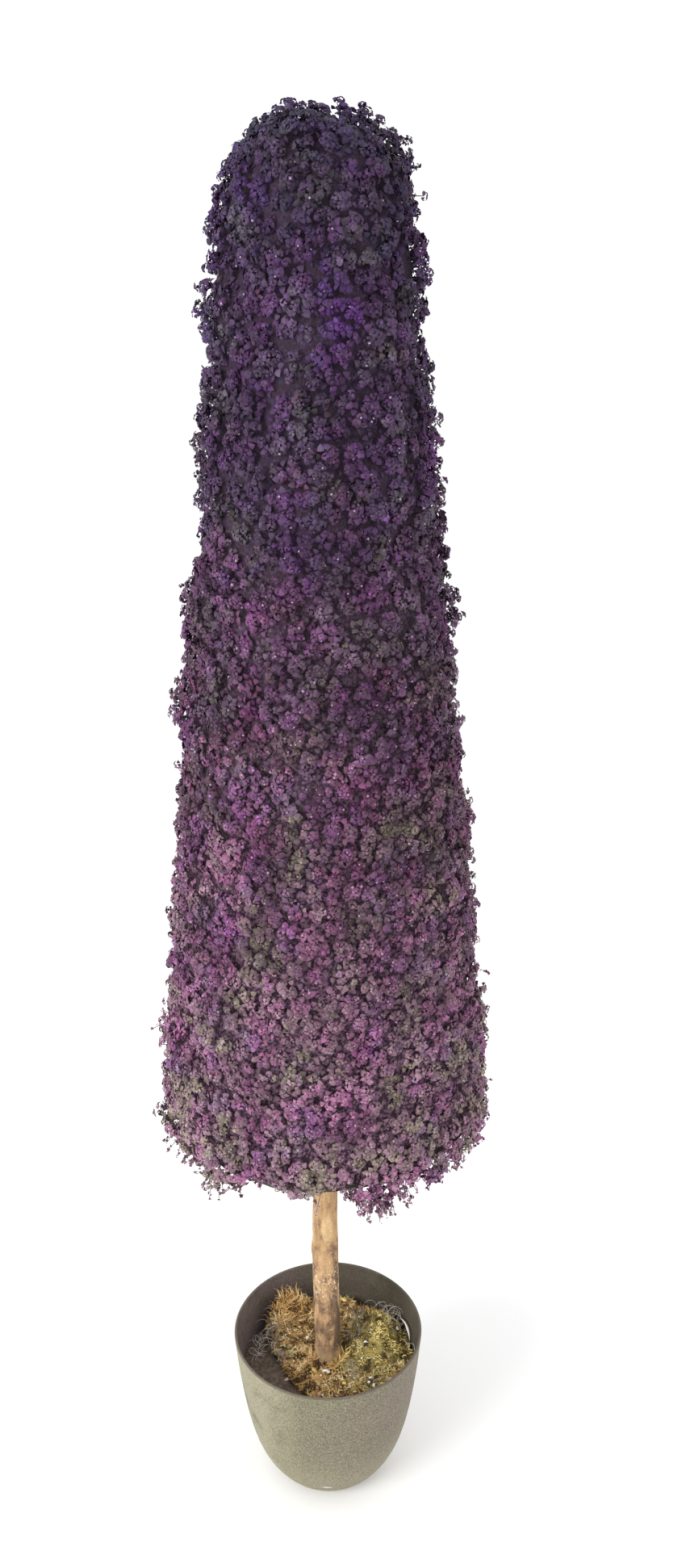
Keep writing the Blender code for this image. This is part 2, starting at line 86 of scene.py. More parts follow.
# Pole
POLE_SIDES = 48
POLE_BEND = 0.0022
POLE_STEP = 0.0025
POLE_HIDDEN_STEPS = 24
BARK_RIDGES = (2.6, 26, 0.70)  # how fine round the pole and along it, and how strong
BARK_CRACKS = (3.4, 14, 0.30)
BARK_LUMPS = (0.8, 17, 1.1)
POLE_COVERED = 0.02  # above the foliage's foot, from where the pole can't be seen
TIP_BEVEL = 0.001
FLAKE_BAND = ((0.0, 0.0, 0.272), (0.03, 0.03, 0.038))  # place and size of the flaking bark
FLAKE_TINT = (0.74, 0.60, 0.42)
FLECK_TINT = (0.66, 0.52, 0.38)
KNOT_WIDTH = 0.9  # of its height
KNOT_PIT = (0.45, 3)  # depth in rises, and how much smaller than the knot
KNOTS = (  # height, azimuth in degrees, size, rise
    (0.315, 180, 0.008, 0.0018),
    (0.405, 250, 0.006, 0.0007),
    (0.232, 290, 0.007, 0.0008),
    (0.180, 215, 0.006, 0.0007),
    (0.332, 190, 0.004, -0.0013),
)

# Clipped outline of the foliage, as in the part's source
FOLIAGE_BOTTOM = 0.499
FOLIAGE_TOP = 1.500
BELLY = 0.004
BELLY_SPAN = 0.70
EDGE_RADIUS = 0.018
UNDERSIDE_START = (0.045, 0.002)  # distance from the axis and height above the foot
EDGE_STEPS = 12
SIDE_STEPS = 60
DOME_STEPS = 48
DOME_HEIGHT = 0.110
DOME_POWER = 3.0
BULGES = (  # azimuth in degrees, height, how far it stands out or in
    (180, 1.410, 0.006),
    (178, 1.335, 0.007),
    (182, 1.225, 0.007),
    (180, 1.070, 0.008),
    (181, 0.975, 0.007),
    (180, 0.620, 0.004),
    (0, 1.465, 0.005),
    (0, 1.315, -0.007),
    (2, 1.060, 0.008),
    (0, 0.985, -0.008),
    (0, 0.905, -0.006),
    (0, 0.600, 0.003),
)
BULGE_WIDTH = math.radians(24)
BULGE_HEIGHT = 0.022
EDGE_WAVES = (  # azimuth and width in degrees, how far the lower edge hangs or, below 0, is drawn up
    (-103, 19, -0.018),
    (-73, 9, 0.004),
    (-60, 6, -0.010),
    (-142, 5, -0.012),
    (112, 16, 0.010),
    (-115, 3, -0.012),
    (-86, 4, -0.012),
)
EDGE_SQUEEZE = 0.06  # height over which the foliage gives way where its edge is drawn up
EDGE_FACING = (-0.2, 0.5)  # slope at which the edge's hang sets in, and over which it grows to full
EDGE_FADE = (3, 1.4)  # brings the hang to nothing towards the pole
RIPPLE = 0.0014
RIPPLE_WAVES = ((3, 21.0), (5, 34.0), (7, 13.0), (4, 52.0), (9, 27.0))  # turns round, pitch up
RIPPLE_SEED = 7
TIER_EDGES = (0.512, 0.640, 0.780, 0.920, 1.060, 1.200, 1.340)
SEAM_WAVE = 0.005
SEAM_TURNS = 3
OUTLINE_STEP = 0.004
CORE_DEPTH = 0.0152
ROOT_DEPTH = 0.008
CORE_SIDES = 72
CORE_STEP = 0.010
CORE_CROWDING = 1.6  # how much closer together the crown's levels are at its top
CORE_RIPPLE = 0.8  # share of the surface's ripple that the core follows
CORE_TUCK = (0.010, 0.02)  # how far the lowest core draws in at its foot, and over what height
CORE_LUMPS = 0.0035
LUMPS_SCALE = 90
CORE_RIM_TINT = (0.085, 0.105, 0.055)

# Sprays: a stem out of the core forks under the surface to rosettes of tiny florets
ROW_SPACING = 0.88  # of the staggered rows, in spacings
SPRAY_SPACING = 0.0215
SPRAY_JITTER = 0.30
SPRAY_LIFT = 0.0022
SPRAY_SWELL = 0.0065  # how far whole groups of sprays stand out or in
SWELL_SHIFT = 71.0  # sets their noise apart from that of the tints
SPRAY_LEAN = 0.20
SPRAY_DOME = 0.0045  # how much lower a spray is at its rim than in its middle
SPRAY_SPREAD = 0.55  # how far its rim faces away from its middle
FORK_DEPTH = 0.010
ROSETTE_SPACING = 0.0092
ROSETTE_JITTER = 0.28
ROSETTE_LIFT = 0.0024
ROSETTE_LEAN = 0.18
ROSETTE_GATHER = 0.16
ROSETTE_RADIUS = 0.0039  # of the ball whose cap the florets cover
ROSETTE_SIZES = (0.85, 1.15)
ROSETTE_FLORETS = (6, 7, 8)  # round the middle one
ROSETTE_TILT = math.radians(57)
ROSETTE_SPREAD = math.radians(8)
RING_JITTER = 0.13
INNER_SPACING = 0.0095  # of the pairs of florets in shade between and behind the rosettes
INNER_DEPTH = 0.0036
INNER_RADIUS = 0.0036
INNER_APART = 0.0030
INNER_GATHER = 0.15
INNER_SHADE = 0.5  # steps darker than the florets outside
UNDERSIDE_SLOPE = -0.7
UNDERSIDE_SHARE = 0.45  # of the rosettes where the foliage faces the floor
PROUD_SHARE = 0.02
PROUD_REACH = (0.002, 0.005)
FLORET_INSET = 0.0030
FLORET_SIZES = (0.82, 1.18)
FLORET_OUT = 0.3  # how far a floret turns from its rosette's middle to the way out
FLORET_TURN = 0.22
FLORET_WAIST = 0.68
FLORET_CROWN = 0.34  # height of the middle, in radii
FLORET_DROOP = 0.12  # how far the lobes' tips bend back
HIGHLIGHT_BY_FACING = ((-0.5, 0.080), (0.5, 0.020))  # share with a painted highlight on the middle, by how far up a floret faces
HIGHLIGHT_BY_HEIGHT = ((0.50, 1.5), (0.95, 0.8), (1.30, 0.2))  # how much that share is scaled
STALK_RADII = (0.0006, 0.0004)
STEM_RADII = (0.0016, 0.0009)
HANGING_SPRIGS = 220
LOOSE_SPRIGS = 45
SPRIG_REACH = (0.006, 0.015)
SPRIG_ROOT = -0.004
SPRIG_OUT = (0.5, 1.0)  # how far hanging and loose sprigs turn out
SPRIG_DOWN = (1.0, 0.25)  # and how far down
SPRIG_LEAN = 0.25
SPRIG_BEND = 0.35
SPRIG_BARE = 0.45  # share of a sprig below its first floret
SPRIG_FLARE = 0.8
SPRIG_FLUFF = 0.0018
HANG_REACH = (0.006, 0.016)
HANG_LEVEL = 0.006  # above the foliage's foot
HANG_BAND = (-0.016, 0.010)  # along the outline, from that level
LOOSE_FROM = 0.02
FLAPS = ((-71, 7.5, 55), (-138, 9, 38))  # azimuth and spread in degrees; sprigs that hang there
SPRIG_FLORETS = 6

# Tints of the florets: parts of blue and of green for each part of red, with how much of the blue goes
# with each green, and how light they are
BLUES = (("warm", 0.76), ("plain", 0.96), ("cool", 1.25), ("cold", 1.65))
GREENS = (("purple", 0.32, 1.0), ("plum", 0.43, 1.0), ("smoke", 0.59, 1.0), ("leaf", 0.79, 0.87))
TINT_SUM = 2.25  # of a tint's parts, before its strength
STRENGTHS = (0.045, 0.064, 0.090, 0.127, 0.18, 0.25, 0.34)  # deep to light
BLUE_BY_HEIGHT = ((0.49, 0.05), (0.95, 0.45), (1.20, 1.65), (1.50, 2.75))
GREEN_BY_HEIGHT = ((0.49, 1.95), (1.00, 1.30), (1.50, 1.95))
# Painted light and shade: florets get lighter tints low on the column and deeper ones high up
PAINTED_LIGHT_BY_HEIGHT = ((0.49, 5.3), (0.70, 4.3), (0.95, 2.75), (1.20, 1.6), (1.50, 1.0))
PATCH_SCALE = 24.0  # patches per metre
FINE_PATCHES = 2.1  # how much smaller the second set of patches is
BLUE_CHANGE = (0.8, 0.15, 0.12)  # by patch, by rosette, by floret
GREEN_CHANGE = (2.1, 0.25, 0.15)
STRENGTH_CHANGE = (1.8, 0.45, 0.35)
TINT_FIELDS = (
    (BLUE_BY_HEIGHT, BLUE_CHANGE),
    (GREEN_BY_HEIGHT, GREEN_CHANGE),
    (PAINTED_LIGHT_BY_HEIGHT, STRENGTH_CHANGE),
)
PATCHES = (  # azimuth in degrees, height, spread; steps to bluer, to greener and to lighter
    (-75, 0.677, 0.022, 0.8, -1.2, 0.3),
    (-79, 1.335, 0.024, 0.8, -1.2, 0.2),
    (-59, 0.959, 0.020, 0.6, -0.8, 0.0),
    (-127, 0.794, 0.025, 0.4, -0.8, 0.3),
    (-94, 0.924, 0.018, 0.4, -0.8, 0.0),
    (-58, 1.163, 0.020, 0.4, -0.8, 0.0),
    (-94, 1.214, 0.022, 0.0, 1.4, 0.0),
    (-83, 0.991, 0.016, -0.2, 1.5, 0.0),
    (-115, 0.774, 0.022, 0.0, 1.3, 0.2),
    (-42, 1.011, 0.022, 0.0, 1.0, 0.0),
    (-59, 0.719, 0.022, 0.0, 1.0, 0.0),
    (-93, 0.541, 0.026, -0.2, 1.2, 0.3),
    (-105, 0.843, 0.024, 0.0, 0.0, -1.0),
    (-60, 1.361, 0.022, 0.0, 0.0, -0.9),
    (-66, 0.626, 0.022, 0.0, 0.0, -0.8),
    (-121, 1.180, 0.022, 0.0, 0.0, -0.8),
    (-148, 0.703, 0.034, 0.0, 0.0, 0.9),
    (-102, 0.937, 0.014, 0.0, 0.0, 0.8),
)
# Painted highlights: pale raised middles on some florets, standing in for glints of light on the plastic
HIGHLIGHT_REACH = 0.5  # in floret radii
HIGHLIGHT_RISE = (0.13, 0.52)
HIGHLIGHT_TINT = (0.38, 0.27, 0.37)
# Stalks: painted light on the lower tiers, painted shade on the higher ones
STALK_TINTS = (("stalk_pale", (0.12, 0.075, 0.105)), ("stalk_dark", (0.050, 0.036, 0.056)))
SHADED_STALK_TIER = 3  # the first tier whose stalks are dark, as painted shade high up

# Moss
MOSS_SEED = 21
MOSS_LEVEL = 0.009
MOSS_INNER = 0.0165
MOSS_OUTER = 0.1012
MOSS_EDGE_POWER = 5
MOSS_EDGE_DROP = 0.50
MOSS_HOLLOW_AZIMUTH = math.radians(-147)
MOSS_HOLLOW_WIDTH = math.radians(58)
MOSS_HOLLOW_DEPTH = 0.049
MOSS_HEAPS = (  # x, y, spread, height
    (-0.050, 0.068, 0.034, 0.040),
    (0.060, 0.034, 0.040, 0.034),
    (0.031, 0.028, 0.014, -0.010),
    (0.022, 0.082, 0.014, 0.020),
    (0.010, -0.045, 0.030, 0.004),
    (0.0, 0.0, 0.026, 0.006),
)
MOSS_SECTORS = (("moss_brown", 63, 298), ("moss_green", -61, 62))
MAT_GRID = (96, 34)
MAT_RELIEF = (0.0022, 110)  # height and features per metre
MAT_THICKNESS = 0.004
BROWN_MAT = ((0.060, 0.041, 0.024), (0.30, 0.19, 0.075), (0.54, 0.36, 0.15))  # deep to pale
GREEN_MAT = ((0.070, 0.052, 0.026), (0.36, 0.29, 0.10), (0.58, 0.48, 0.19))
FOOT_SHARE = 0.045  # of the strands, in a ring round the pole
FOOT_RING = (0.0168, 0.0205)
STRAND_WIDTH = 0.00080
STRAND_PROFILE = (0.8, 1.7, 0.9, 0.4)
STRAND_MARGIN = 0.002
STRAND_ROOT = 0.001
STRAND_LIMIT = MOSS_OUTER + 0.0025
STRAND_LENGTHS = (0.45, 1.25)
STRAND_CLIMB = (0.05, 1.2)
STRAND_LEVEL = 0.8
STRAND_FALL = 0.55
STRAND_WAVE = (0.22, 5)  # reach, and radians along a strand
STRAND_ROLL = 0.5
TUFT_SPREAD = 0.024  # of the first heap's steep strands
TUFT_LENGTH = 0.7
FOOT_STEEP = 0.8
UMBER, OCHRE, STRAW, OLIVE, LIME, GREY = range(6)
MOSS_TINTS = (
    ("moss_umber", (0.10, 0.062, 0.034)),
    ("moss_ochre", (0.66, 0.41, 0.155)),
    ("moss_straw", (0.90, 0.72, 0.40)),
    ("moss_olive", (0.60, 0.46, 0.145)),
    ("moss_lime", (0.93, 0.78, 0.31)),
    ("moss_grey", (0.38, 0.31, 0.26)),
)
CLUMP_SCALE = 95
LUSH_SCALE = 40
GREY_SHADOW_LEVEL = 0.62
MOSS_MOUND = (0.066, 0.022, 0.046)  # x, y and spread of the greener moss
MOSS_GREY_AND_SHADOWS = (  # x, y and spread of the withered grey moss, darker as painted shadow beside the pole and on the left
    (0.034, 0.028, 0.024),
    (0.040, 0.060, 0.016),
    (-0.072, 0.030, 0.022),
    (-0.058, 0.006, 0.014),
    (0.030, -0.022, 0.016),
)
FLECKS = (  # x, y, size, tint: pale, pink, green or yellow
    (-0.004, -0.025, 0.0048, 0),
    (-0.009, -0.021, 0.0026, 0),
    (0.000, -0.027, 0.0030, 0),
    (-0.025, 0.026, 0.0030, 0),
    (0.045, 0.006, 0.0030, 0),
    (0.084, 0.030, 0.0028, 0),
    (0.067, -0.004, 0.0022, 0),
    (0.047, -0.011, 0.0022, 0),
    (0.050, -0.034, 0.0034, 0),
    (0.047, -0.040, 0.0026, 0),
    (0.053, -0.044, 0.0024, 0),
    (0.030, -0.036, 0.0020, 0),
    (-0.053, 0.018, 0.0036, 2),
    (-0.044, 0.010, 0.0028, 2),
    (0.026, 0.088, 0.0034, 2),
    (-0.017, -0.021, 0.0038, 3),
    (0.020, 0.078, 0.0042, 3),
    (0.018, -0.044, 0.0030, 3),
    (-0.011, -0.056, 0.0026, 1),
    (-0.012, -0.043, 0.0026, 1),
    (-0.050, -0.028, 0.0030, 1),
)
SCRAPS = 80
SCRAP_SIZES = (0.0008, 0.0016)
SCRAP_TINTS = (0, 0, 1, 2, 3)
SCRAP_RING = (0.030, 0.92)  # from the axis, and share of the moss's reach
FLECK_LIFT = 0.0022
FLECK_TILT = 0.35
FLECK_SHAPE = ((1, 0.1, 0), (0.3, 0.8, 0.15), (-0.6, 0.6, 0), (-1, -0.2, 0.2), (-0.1, -0.7, 0), (0, 0, 0.35))
FLECK_FACES = tuple((i, (i + 1) % 5, 5) for i in range(5))
FLECK_TINTS = (
    ("fleck_pale", (0.92, 0.90, 0.84)),
    ("fleck_pink", (0.62, 0.40, 0.36)),
    ("fleck_green", (0.42, 0.56, 0.26)),
    ("fleck_yellow", (0.85, 0.60, 0.16)),
)
HAIRS = (  # azimuth in degrees, spread, nearest and furthest from the axis, number
    (158, 9, 0.066, 0.092, 34),
    (34, 12, 0.084, 0.100, 36),
    (-30, 10, 0.070, 0.090, 12),
)
HAIR_LIMIT = 0.1035
HAIR_REACH = (0.010, 0.024)
HAIR_LIFT = 0.002
HAIR_TURN = 1.2
HAIR_CURL = 1.6
HAIR_ARCH = 0.011
HAIR_ARCHES = (0.3, 1.0)
HAIR_RADIUS = 0.0002
HAIR_TINT = (0.90, 0.86, 0.78)
CURL_START = (0.0985, 0.018, 0.159)
CURL_REACH = (-0.010, 0.026, 0.011)
CURL_RADII = (0.0003, 0.0007, 0.0012, 0.0015, 0.0014, 0.0011, 0.0009, 0.0006, 0.0002)
CURL_TINT = (0.90, 0.87, 0.80)

# View of the photograph: 1650 pixels of focal length in a frame 1942 pixels high
CAMERA_PLACE = (0.0, -1.2520, 1.3601)
CAMERA_PITCH = math.radians(20.70)
CAMERA_YAW = math.radians(0.956)
CAMERA_ROLL = math.radians(-0.279)
SENSOR = 36
CAMERA_LENS = SENSOR * 1650 / 1942

# Studio
FLOOR_RADIUS = 40
AIM = (0, 0, 0.9)
LIGHTS = (("key", (-2.2, -2.0, 1.9), 1.6), ("fill", (2.4, -1.8, 1.6), 2.4))  # place and size


class PotSettings(bpy.types.PropertyGroup):
    """Sizes and colours of the pot."""

    rim_radius: FloatProperty(
        name="Rim radius", description="Outer radius of the rim", default=0.1108, min=0.05, unit="LENGTH"
    )
    wall: FloatProperty(
        name="Wall", description="Thickness of the wall", default=0.003, min=0.001, unit="LENGTH"
    )
    outside: FloatVectorProperty(
        name="Outside", description="Colour of the outer face", default=(0.182, 0.162, 0.115), subtype="COLOR"
    )
    inside: FloatVectorProperty(
        name="Inside", description="Colour of the inner face", default=(0.098, 0.083, 0.063), subtype="COLOR"
    )


class PoleSettings(bpy.types.PropertyGroup):
    """Sizes and colours of the pole."""

    foot_radius: FloatProperty(
        name="Foot radius",
        description="Radius where the pole leaves the moss",
        default=0.0154,
        unit="LENGTH",
    )
    tip_radius: FloatProperty(
        name="Tip radius", description="Radius at the hidden tip", default=0.0100, unit="LENGTH"
    )
    relief: FloatProperty(
        name="Relief", description="Height of the bark's ridges", default=0.00055, unit="LENGTH"
    )
    bark: FloatVectorProperty(
        name="Bark", description="Colour of the bark higher up", default=(0.52, 0.325, 0.165), subtype="COLOR"
    )
    foot: FloatVectorProperty(
        name="Foot",
        description="Colour of the bark near the moss",
        default=(0.27, 0.168, 0.102),
        subtype="COLOR",
    )


class FoliageSettings(bpy.types.PropertyGroup):
    """Sizes of the clipped column and its florets."""

    bottom_radius: FloatProperty(
        name="Bottom radius", description="Radius of the column at its foot", default=0.181, unit="LENGTH"
    )
    top_radius: FloatProperty(
        name="Top radius", description="Radius of the cone at its top", default=0.084, unit="LENGTH"
    )
    floret_radius: FloatProperty(
        name="Floret radius", description="Radius of one floret", default=0.0021, unit="LENGTH"
    )
    core: FloatVectorProperty(
        name="Core",
        description="Colour of the mat under the florets",
        default=(0.105, 0.058, 0.090),
        subtype="COLOR",
    )
    seed: IntProperty(name="Seed", description="Seed of the sprays", default=7)


class MossSettings(bpy.types.PropertyGroup):
    """Amount and length of the moss."""

    strands: IntProperty(name="Strands", description="Number of moss strands", default=11500)
    length: FloatProperty(
        name="Length", description="Length of a strand of moss", default=0.0070, unit="LENGTH"
    )
    soil: FloatVectorProperty(
        name="Soil", description="Colour of the filler", default=(0.100, 0.077, 0.060), subtype="COLOR"
    )


class StageSettings(bpy.types.PropertyGroup):
    """Light and floor of the studio."""

    floor: FloatVectorProperty(
        name="Floor", description="Colour of the floor", default=(0.92, 0.92, 0.92), subtype="COLOR"
    )
    key: FloatProperty(name="Key", description="Power of the key light", default=70.0, unit="POWER")
    fill: FloatProperty(name="Fill", description="Power of the fill light", default=14.0, unit="POWER")
    sky: FloatProperty(name="Sky", description="Strength of the even light all round", default=1.1)


def deselect():
    """Leaves object mode's selection empty."""
    if bpy.context.mode != "OBJECT":
        bpy.ops.object.mode_set(mode="OBJECT")
    bpy.ops.object.select_all(action="DESELECT")


def edit_all():
    """Opens edit mode with everything selected."""
    bpy.ops.object.mode_set(mode="EDIT")
    bpy.ops.mesh.select_all(action="SELECT")


def close_outward():
    """Turns all faces outward and leaves edit mode."""
    bpy.ops.mesh.select_all(action="SELECT")
    bpy.ops.mesh.normals_make_consistent(inside=False)
    bpy.ops.object.mode_set(mode="OBJECT")


def keep(piece, slot, *nodes):
    """Makes a finished piece part of the plant, in place of the nodes that it stands for."""
    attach(piece, "root")
    if nodes:
        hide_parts(*nodes)


def paint(piece, *finishes):
    """Gives a piece its finishes, in order."""
    if piece.data.materials:
        piece.data.materials.clear()
    for finish in finishes:
        piece.data.materials.append(finish)


def plain_finish(name, colour, roughness, specular):
    """A finish of one colour, for small parts whose tints are dealt out one by one."""
    finish = bpy.data.materials.new(name)
    finish.use_nodes = True
    finish.diffuse_color = (*colour, 1.0)
    shader = finish.node_tree.nodes["Principled BSDF"]
    shader.inputs["Base Color"].default_value = (*colour, 1.0)
    shader.inputs["Roughness"].default_value = roughness
    shader.inputs["Specular IOR Level"].default_value = specular
    return finish


def plain_finishes(tints, roughness, specular):
    """Plain finishes from a list of names and colours."""
    return [plain_finish(name, colour, roughness, specular) for name, colour in tints]


class Nodes:
    """A short way to build a finish's nodes on object coordinates."""

    def __init__(self, name, specular, roughness=0.6):
        self.finish = bpy.data.materials.new(name)
        self.finish.use_nodes = True
        self.tree = self.finish.node_tree
        self.shader = self.tree.nodes["Principled BSDF"]
        self.put(self.shader.inputs["Roughness"], roughness)
        self.put(self.shader.inputs["Specular IOR Level"], specular)
        self.place = self.tree.nodes.new("ShaderNodeTexCoord").outputs["Object"]

    def put(self, target, value):
        """Links a socket to another one, or sets it to a plain value."""
        if isinstance(value, bpy.types.NodeSocket):
            self.tree.links.new(value, target)
        else:
            target.default_value = (*value, 1.0) if target.type == "RGBA" else value

    def add(self, kind, **inputs):
        """A new node, with inputs put in by name, where _ stands for a space."""
        node = self.tree.nodes.new("ShaderNode" + kind)
        for name, value in inputs.items():
            self.put(node.inputs[name.replace("_", " ")], value)
        return node

    def noise(self, scale, detail, roughness=0.5, stretch=(1, 1, 1)):
        """Noise with about that many features per metre."""
        place = self.add("Mapping", Scale=stretch, Vector=self.place).outputs["Vector"]
        node = self.add("TexNoise", Scale=scale, Detail=detail, Roughness=roughness, Vector=place)
        return node.outputs["Fac"]

    def ramp(self, value, *stops):
        """Colours or greys at steps of a value."""
        node = self.add("ValToRGB", Fac=value)
        ramp = node.color_ramp
        while len(ramp.elements) < len(stops):
            ramp.elements.new(0.5)
        for element, (place, colour) in zip(ramp.elements, stops):
            element.position = place
            tone = colour if isinstance(colour, tuple) else (colour, colour, colour)
            element.color = (*tone, 1.0)
        return node.outputs["Color"]

    def between(self, value, low, high):
        """A value carried to 0 at low and 1 at high."""
        node = self.add("MapRange", Value=value, From_Min=low, From_Max=high)
        node.interpolation_type = "SMOOTHSTEP"
        return node.outputs["Result"]

    def along(self, axis, low, high):
        """Place along an axis, X to the viewer's right or Z above the floor, carried to 0 and 1."""
        return self.between(self.add("SeparateXYZ", Vector=self.place).outputs[axis], low, high)

    def spot(self, centre, size):
        """1 at a place, falling to 0 at a distance along each axis."""
        move = tuple(-c / s for c, s in zip(centre, size))
        node = self.add("Mapping", Location=move, Scale=tuple(1 / s for s in size), Vector=self.place)
        reach = self.add("VectorMath")
        reach.operation = "LENGTH"
        self.put(reach.inputs[0], node.outputs["Vector"])
        return self.between(reach.outputs["Value"], 1.0, 0.4)

    def mix(self, share, low, high, blend="MIX"):
        """One colour over another, where each is a socket or a plain colour."""
        node = self.add("Mix")
        node.data_type = "RGBA"
        node.blend_type = blend
        self.put(node.inputs[0], share)
        self.put(node.inputs[6], low)
        self.put(node.inputs[7], high)
        return node.outputs[2]

    def times(self, value, factor, share=1.0):
        """A colour or grey multiplied by another."""
        return self.mix(share, value, factor, "MULTIPLY")

    def part(self, share, mask):
        """A mask scaled down."""
        return self.mix(share, (0.0, 0.0, 0.0), mask)

    def colour(self, source):
        """Sets the base colour."""
        self.put(self.shader.inputs["Base Color"], source)

    def roughness(self, source):
        """Sets the roughness from a grey."""
        self.put(self.shader.inputs["Roughness"], source)

    def bump(self, height, distance, strength=1.0):
        """Sets fine relief."""
        node = self.add("Bump", Distance=distance, Strength=strength, Height=height)
        self.put(self.shader.inputs["Normal"], node.outputs["Normal"])


def points_of(piece):
    """The piece's vertices as rows of x, y, z."""
    points = np.empty(len(piece.data.vertices) * 3)
    piece.data.vertices.foreach_get("co", points)
    return points.reshape(-1, 3)


def move_points(piece, points):
    """Puts the piece's vertices where the rows say."""
    piece.data.vertices.foreach_set("co", np.ascontiguousarray(points).ravel())
    piece.data.update()


def ring_stack(name, sides, levels):
    """A closed drum of radius 1, drawn up level by level from a filled circle."""
    deselect()
    bpy.ops.mesh.primitive_circle_add(
        vertices=sides, radius=1.0, fill_type="NGON", location=(0, 0, levels[0])
    )
    piece = bpy.context.active_object
    piece.name = name
    bpy.ops.object.transform_apply(location=True, rotation=False, scale=False)
    edit_all()
    for low, high in zip(levels, levels[1:]):
        bpy.ops.mesh.extrude_region_move(TRANSFORM_OT_translate={"value": (0, 0, high - low)})
    close_outward()
    return piece


def smooth(piece, degrees):
    """Shades a piece smooth up to an angle between its faces."""
    deselect()
    piece.select_set(True)
    bpy.context.view_layer.objects.active = piece
    bpy.ops.object.shade_smooth_by_angle(angle=math.radians(degrees))


def joined(name, points, triangles, tints=None, shade=True):
    """One mesh from arrays of points, triangles and the finish that each triangle takes."""
    mesh = bpy.data.meshes.new(name)
    mesh.vertices.add(len(points))
    mesh.vertices.foreach_set("co", np.ascontiguousarray(points, dtype=np.float32).ravel())
    mesh.loops.add(len(triangles) * 3)
    mesh.loops.foreach_set("vertex_index", np.ascontiguousarray(triangles, dtype=np.int32).ravel())
    mesh.polygons.add(len(triangles))
    mesh.polygons.foreach_set("loop_start", np.arange(0, len(triangles) * 3, 3, dtype=np.int32))
    if tints is not None:
        mesh.polygons.foreach_set("material_index", np.ascontiguousarray(tints, dtype=np.int32))
    mesh.polygons.foreach_set("use_smooth", np.full(len(triangles), shade))
    mesh.update(calc_edges=True)
    mesh.validate()
    piece = bpy.data.objects.new(name, mesh)
    bpy.context.scene.collection.objects.link(piece)
    return piece


def unit(vectors):
    """Rows scaled to length 1."""
    return vectors / np.maximum(np.linalg.norm(vectors, axis=-1, keepdims=True), 1e-9)


def across(directions):
    """Two directions square to each row and to each other."""
    helper = np.where(np.abs(directions[:, 2:3]) > 0.9, (1.0, 0.0, 0.0), (0.0, 0.0, 1.0))
    side = unit(np.cross(directions, helper))
    return side, np.cross(directions, side)


def swept(points, spans):
    """Points and triangles of thin shapes, from an array of (shape, step, corner, xyz)."""
    count, steps, corners, _ = points.shape
    faces = []
    for step in range(steps - 1):
        for i in range(spans):
            a, b = step * corners + i, step * corners + (i + 1) % corners
            faces += [(a, b, b + corners), (a, b + corners, a + corners)]
    offsets = np.arange(count)[:, None, None] * steps * corners
    return points.reshape(-1, 3), (np.array(faces) + offsets).reshape(-1, 3)


def tubes(paths, radii, sides=3):
    """Thin tubes along paths, an array of (tube, step, xyz), with a radius at each step."""
    count, steps, _ = paths.shape
    side, other = across(unit(paths[:, -1] - paths[:, 0]))
    turns = TAU * np.arange(sides) / sides
    spokes = side[:, None] * np.cos(turns)[:, None] + other[:, None] * np.sin(turns)[:, None]
    radii = np.broadcast_to(radii, (count, steps))
    return swept(paths[:, :, None] + spokes[:, None] * radii[:, :, None, None], sides)


def ribbons(paths, widths, facing):
    """Thin strips along paths, with a width at each step and their flat side facing a way."""
    side = unit(np.cross(unit(paths[:, -1] - paths[:, 0]), facing))
    half = side[:, None] * np.broadcast_to(widths, paths.shape[:2])[:, :, None] / 2
    return swept(np.stack([paths - half, paths + half], axis=2), 1)


def copies(shape, faces, places, facing, spins, scales):
    """Copies of a small shape, each turned to face a way, spun, scaled and placed."""
    side, other = across(facing)
    cos, sin = np.cos(spins)[:, None], np.sin(spins)[:, None]
    x_axis = side * cos + other * sin
    y_axis = other * cos - side * sin
    local = shape * scales[:, None, None]
    points = (
        places[:, None]
        + local[..., 0:1] * x_axis[:, None]
        + local[..., 1:2] * y_axis[:, None]
        + local[..., 2:3] * facing[:, None]
    )
    offsets = np.arange(len(places))[:, None, None] * shape.shape[-2]
    return points.reshape(-1, 3), (np.array(faces) + offsets).reshape(-1, 3)


def gathered(groups):
    """One set of points and triangles from several."""
    starts = np.cumsum([0] + [len(points) for points, _ in groups])
    triangles = [faces + start for (_, faces), start in zip(groups, starts)]
    return np.concatenate([points for points, _ in groups]), np.concatenate(triangles)


def angle_between(a, b):
    """Smallest turn between azimuths."""
    return np.abs((a - b + math.pi) % TAU - math.pi)


def graded(values, table):
    """Values looked up in a table of steps, straight between them."""
    return np.interp(values, *zip(*table))


def drawn_in(x, y, limit):
    """The factor that brings places back within a distance of the axis."""
    return limit / np.maximum(np.hypot(x, y), limit)


def tinted(colour, *parts):
    """A colour with each of its parts scaled."""
    return tuple(min(1.0, value * part) for value, part in zip(colour, parts * (3 // len(parts))))


# Pot


def pot_radius(rim_radius, z):
    """Outer radius of the pot at a height."""
    depth = max(0.0, 1.0 - z / POT_HEIGHT)
    return rim_radius * (1.0 - POT_SLOPE * depth - POT_BELLY * depth**2 - POT_TURN * depth**POT_TURN_POWER)


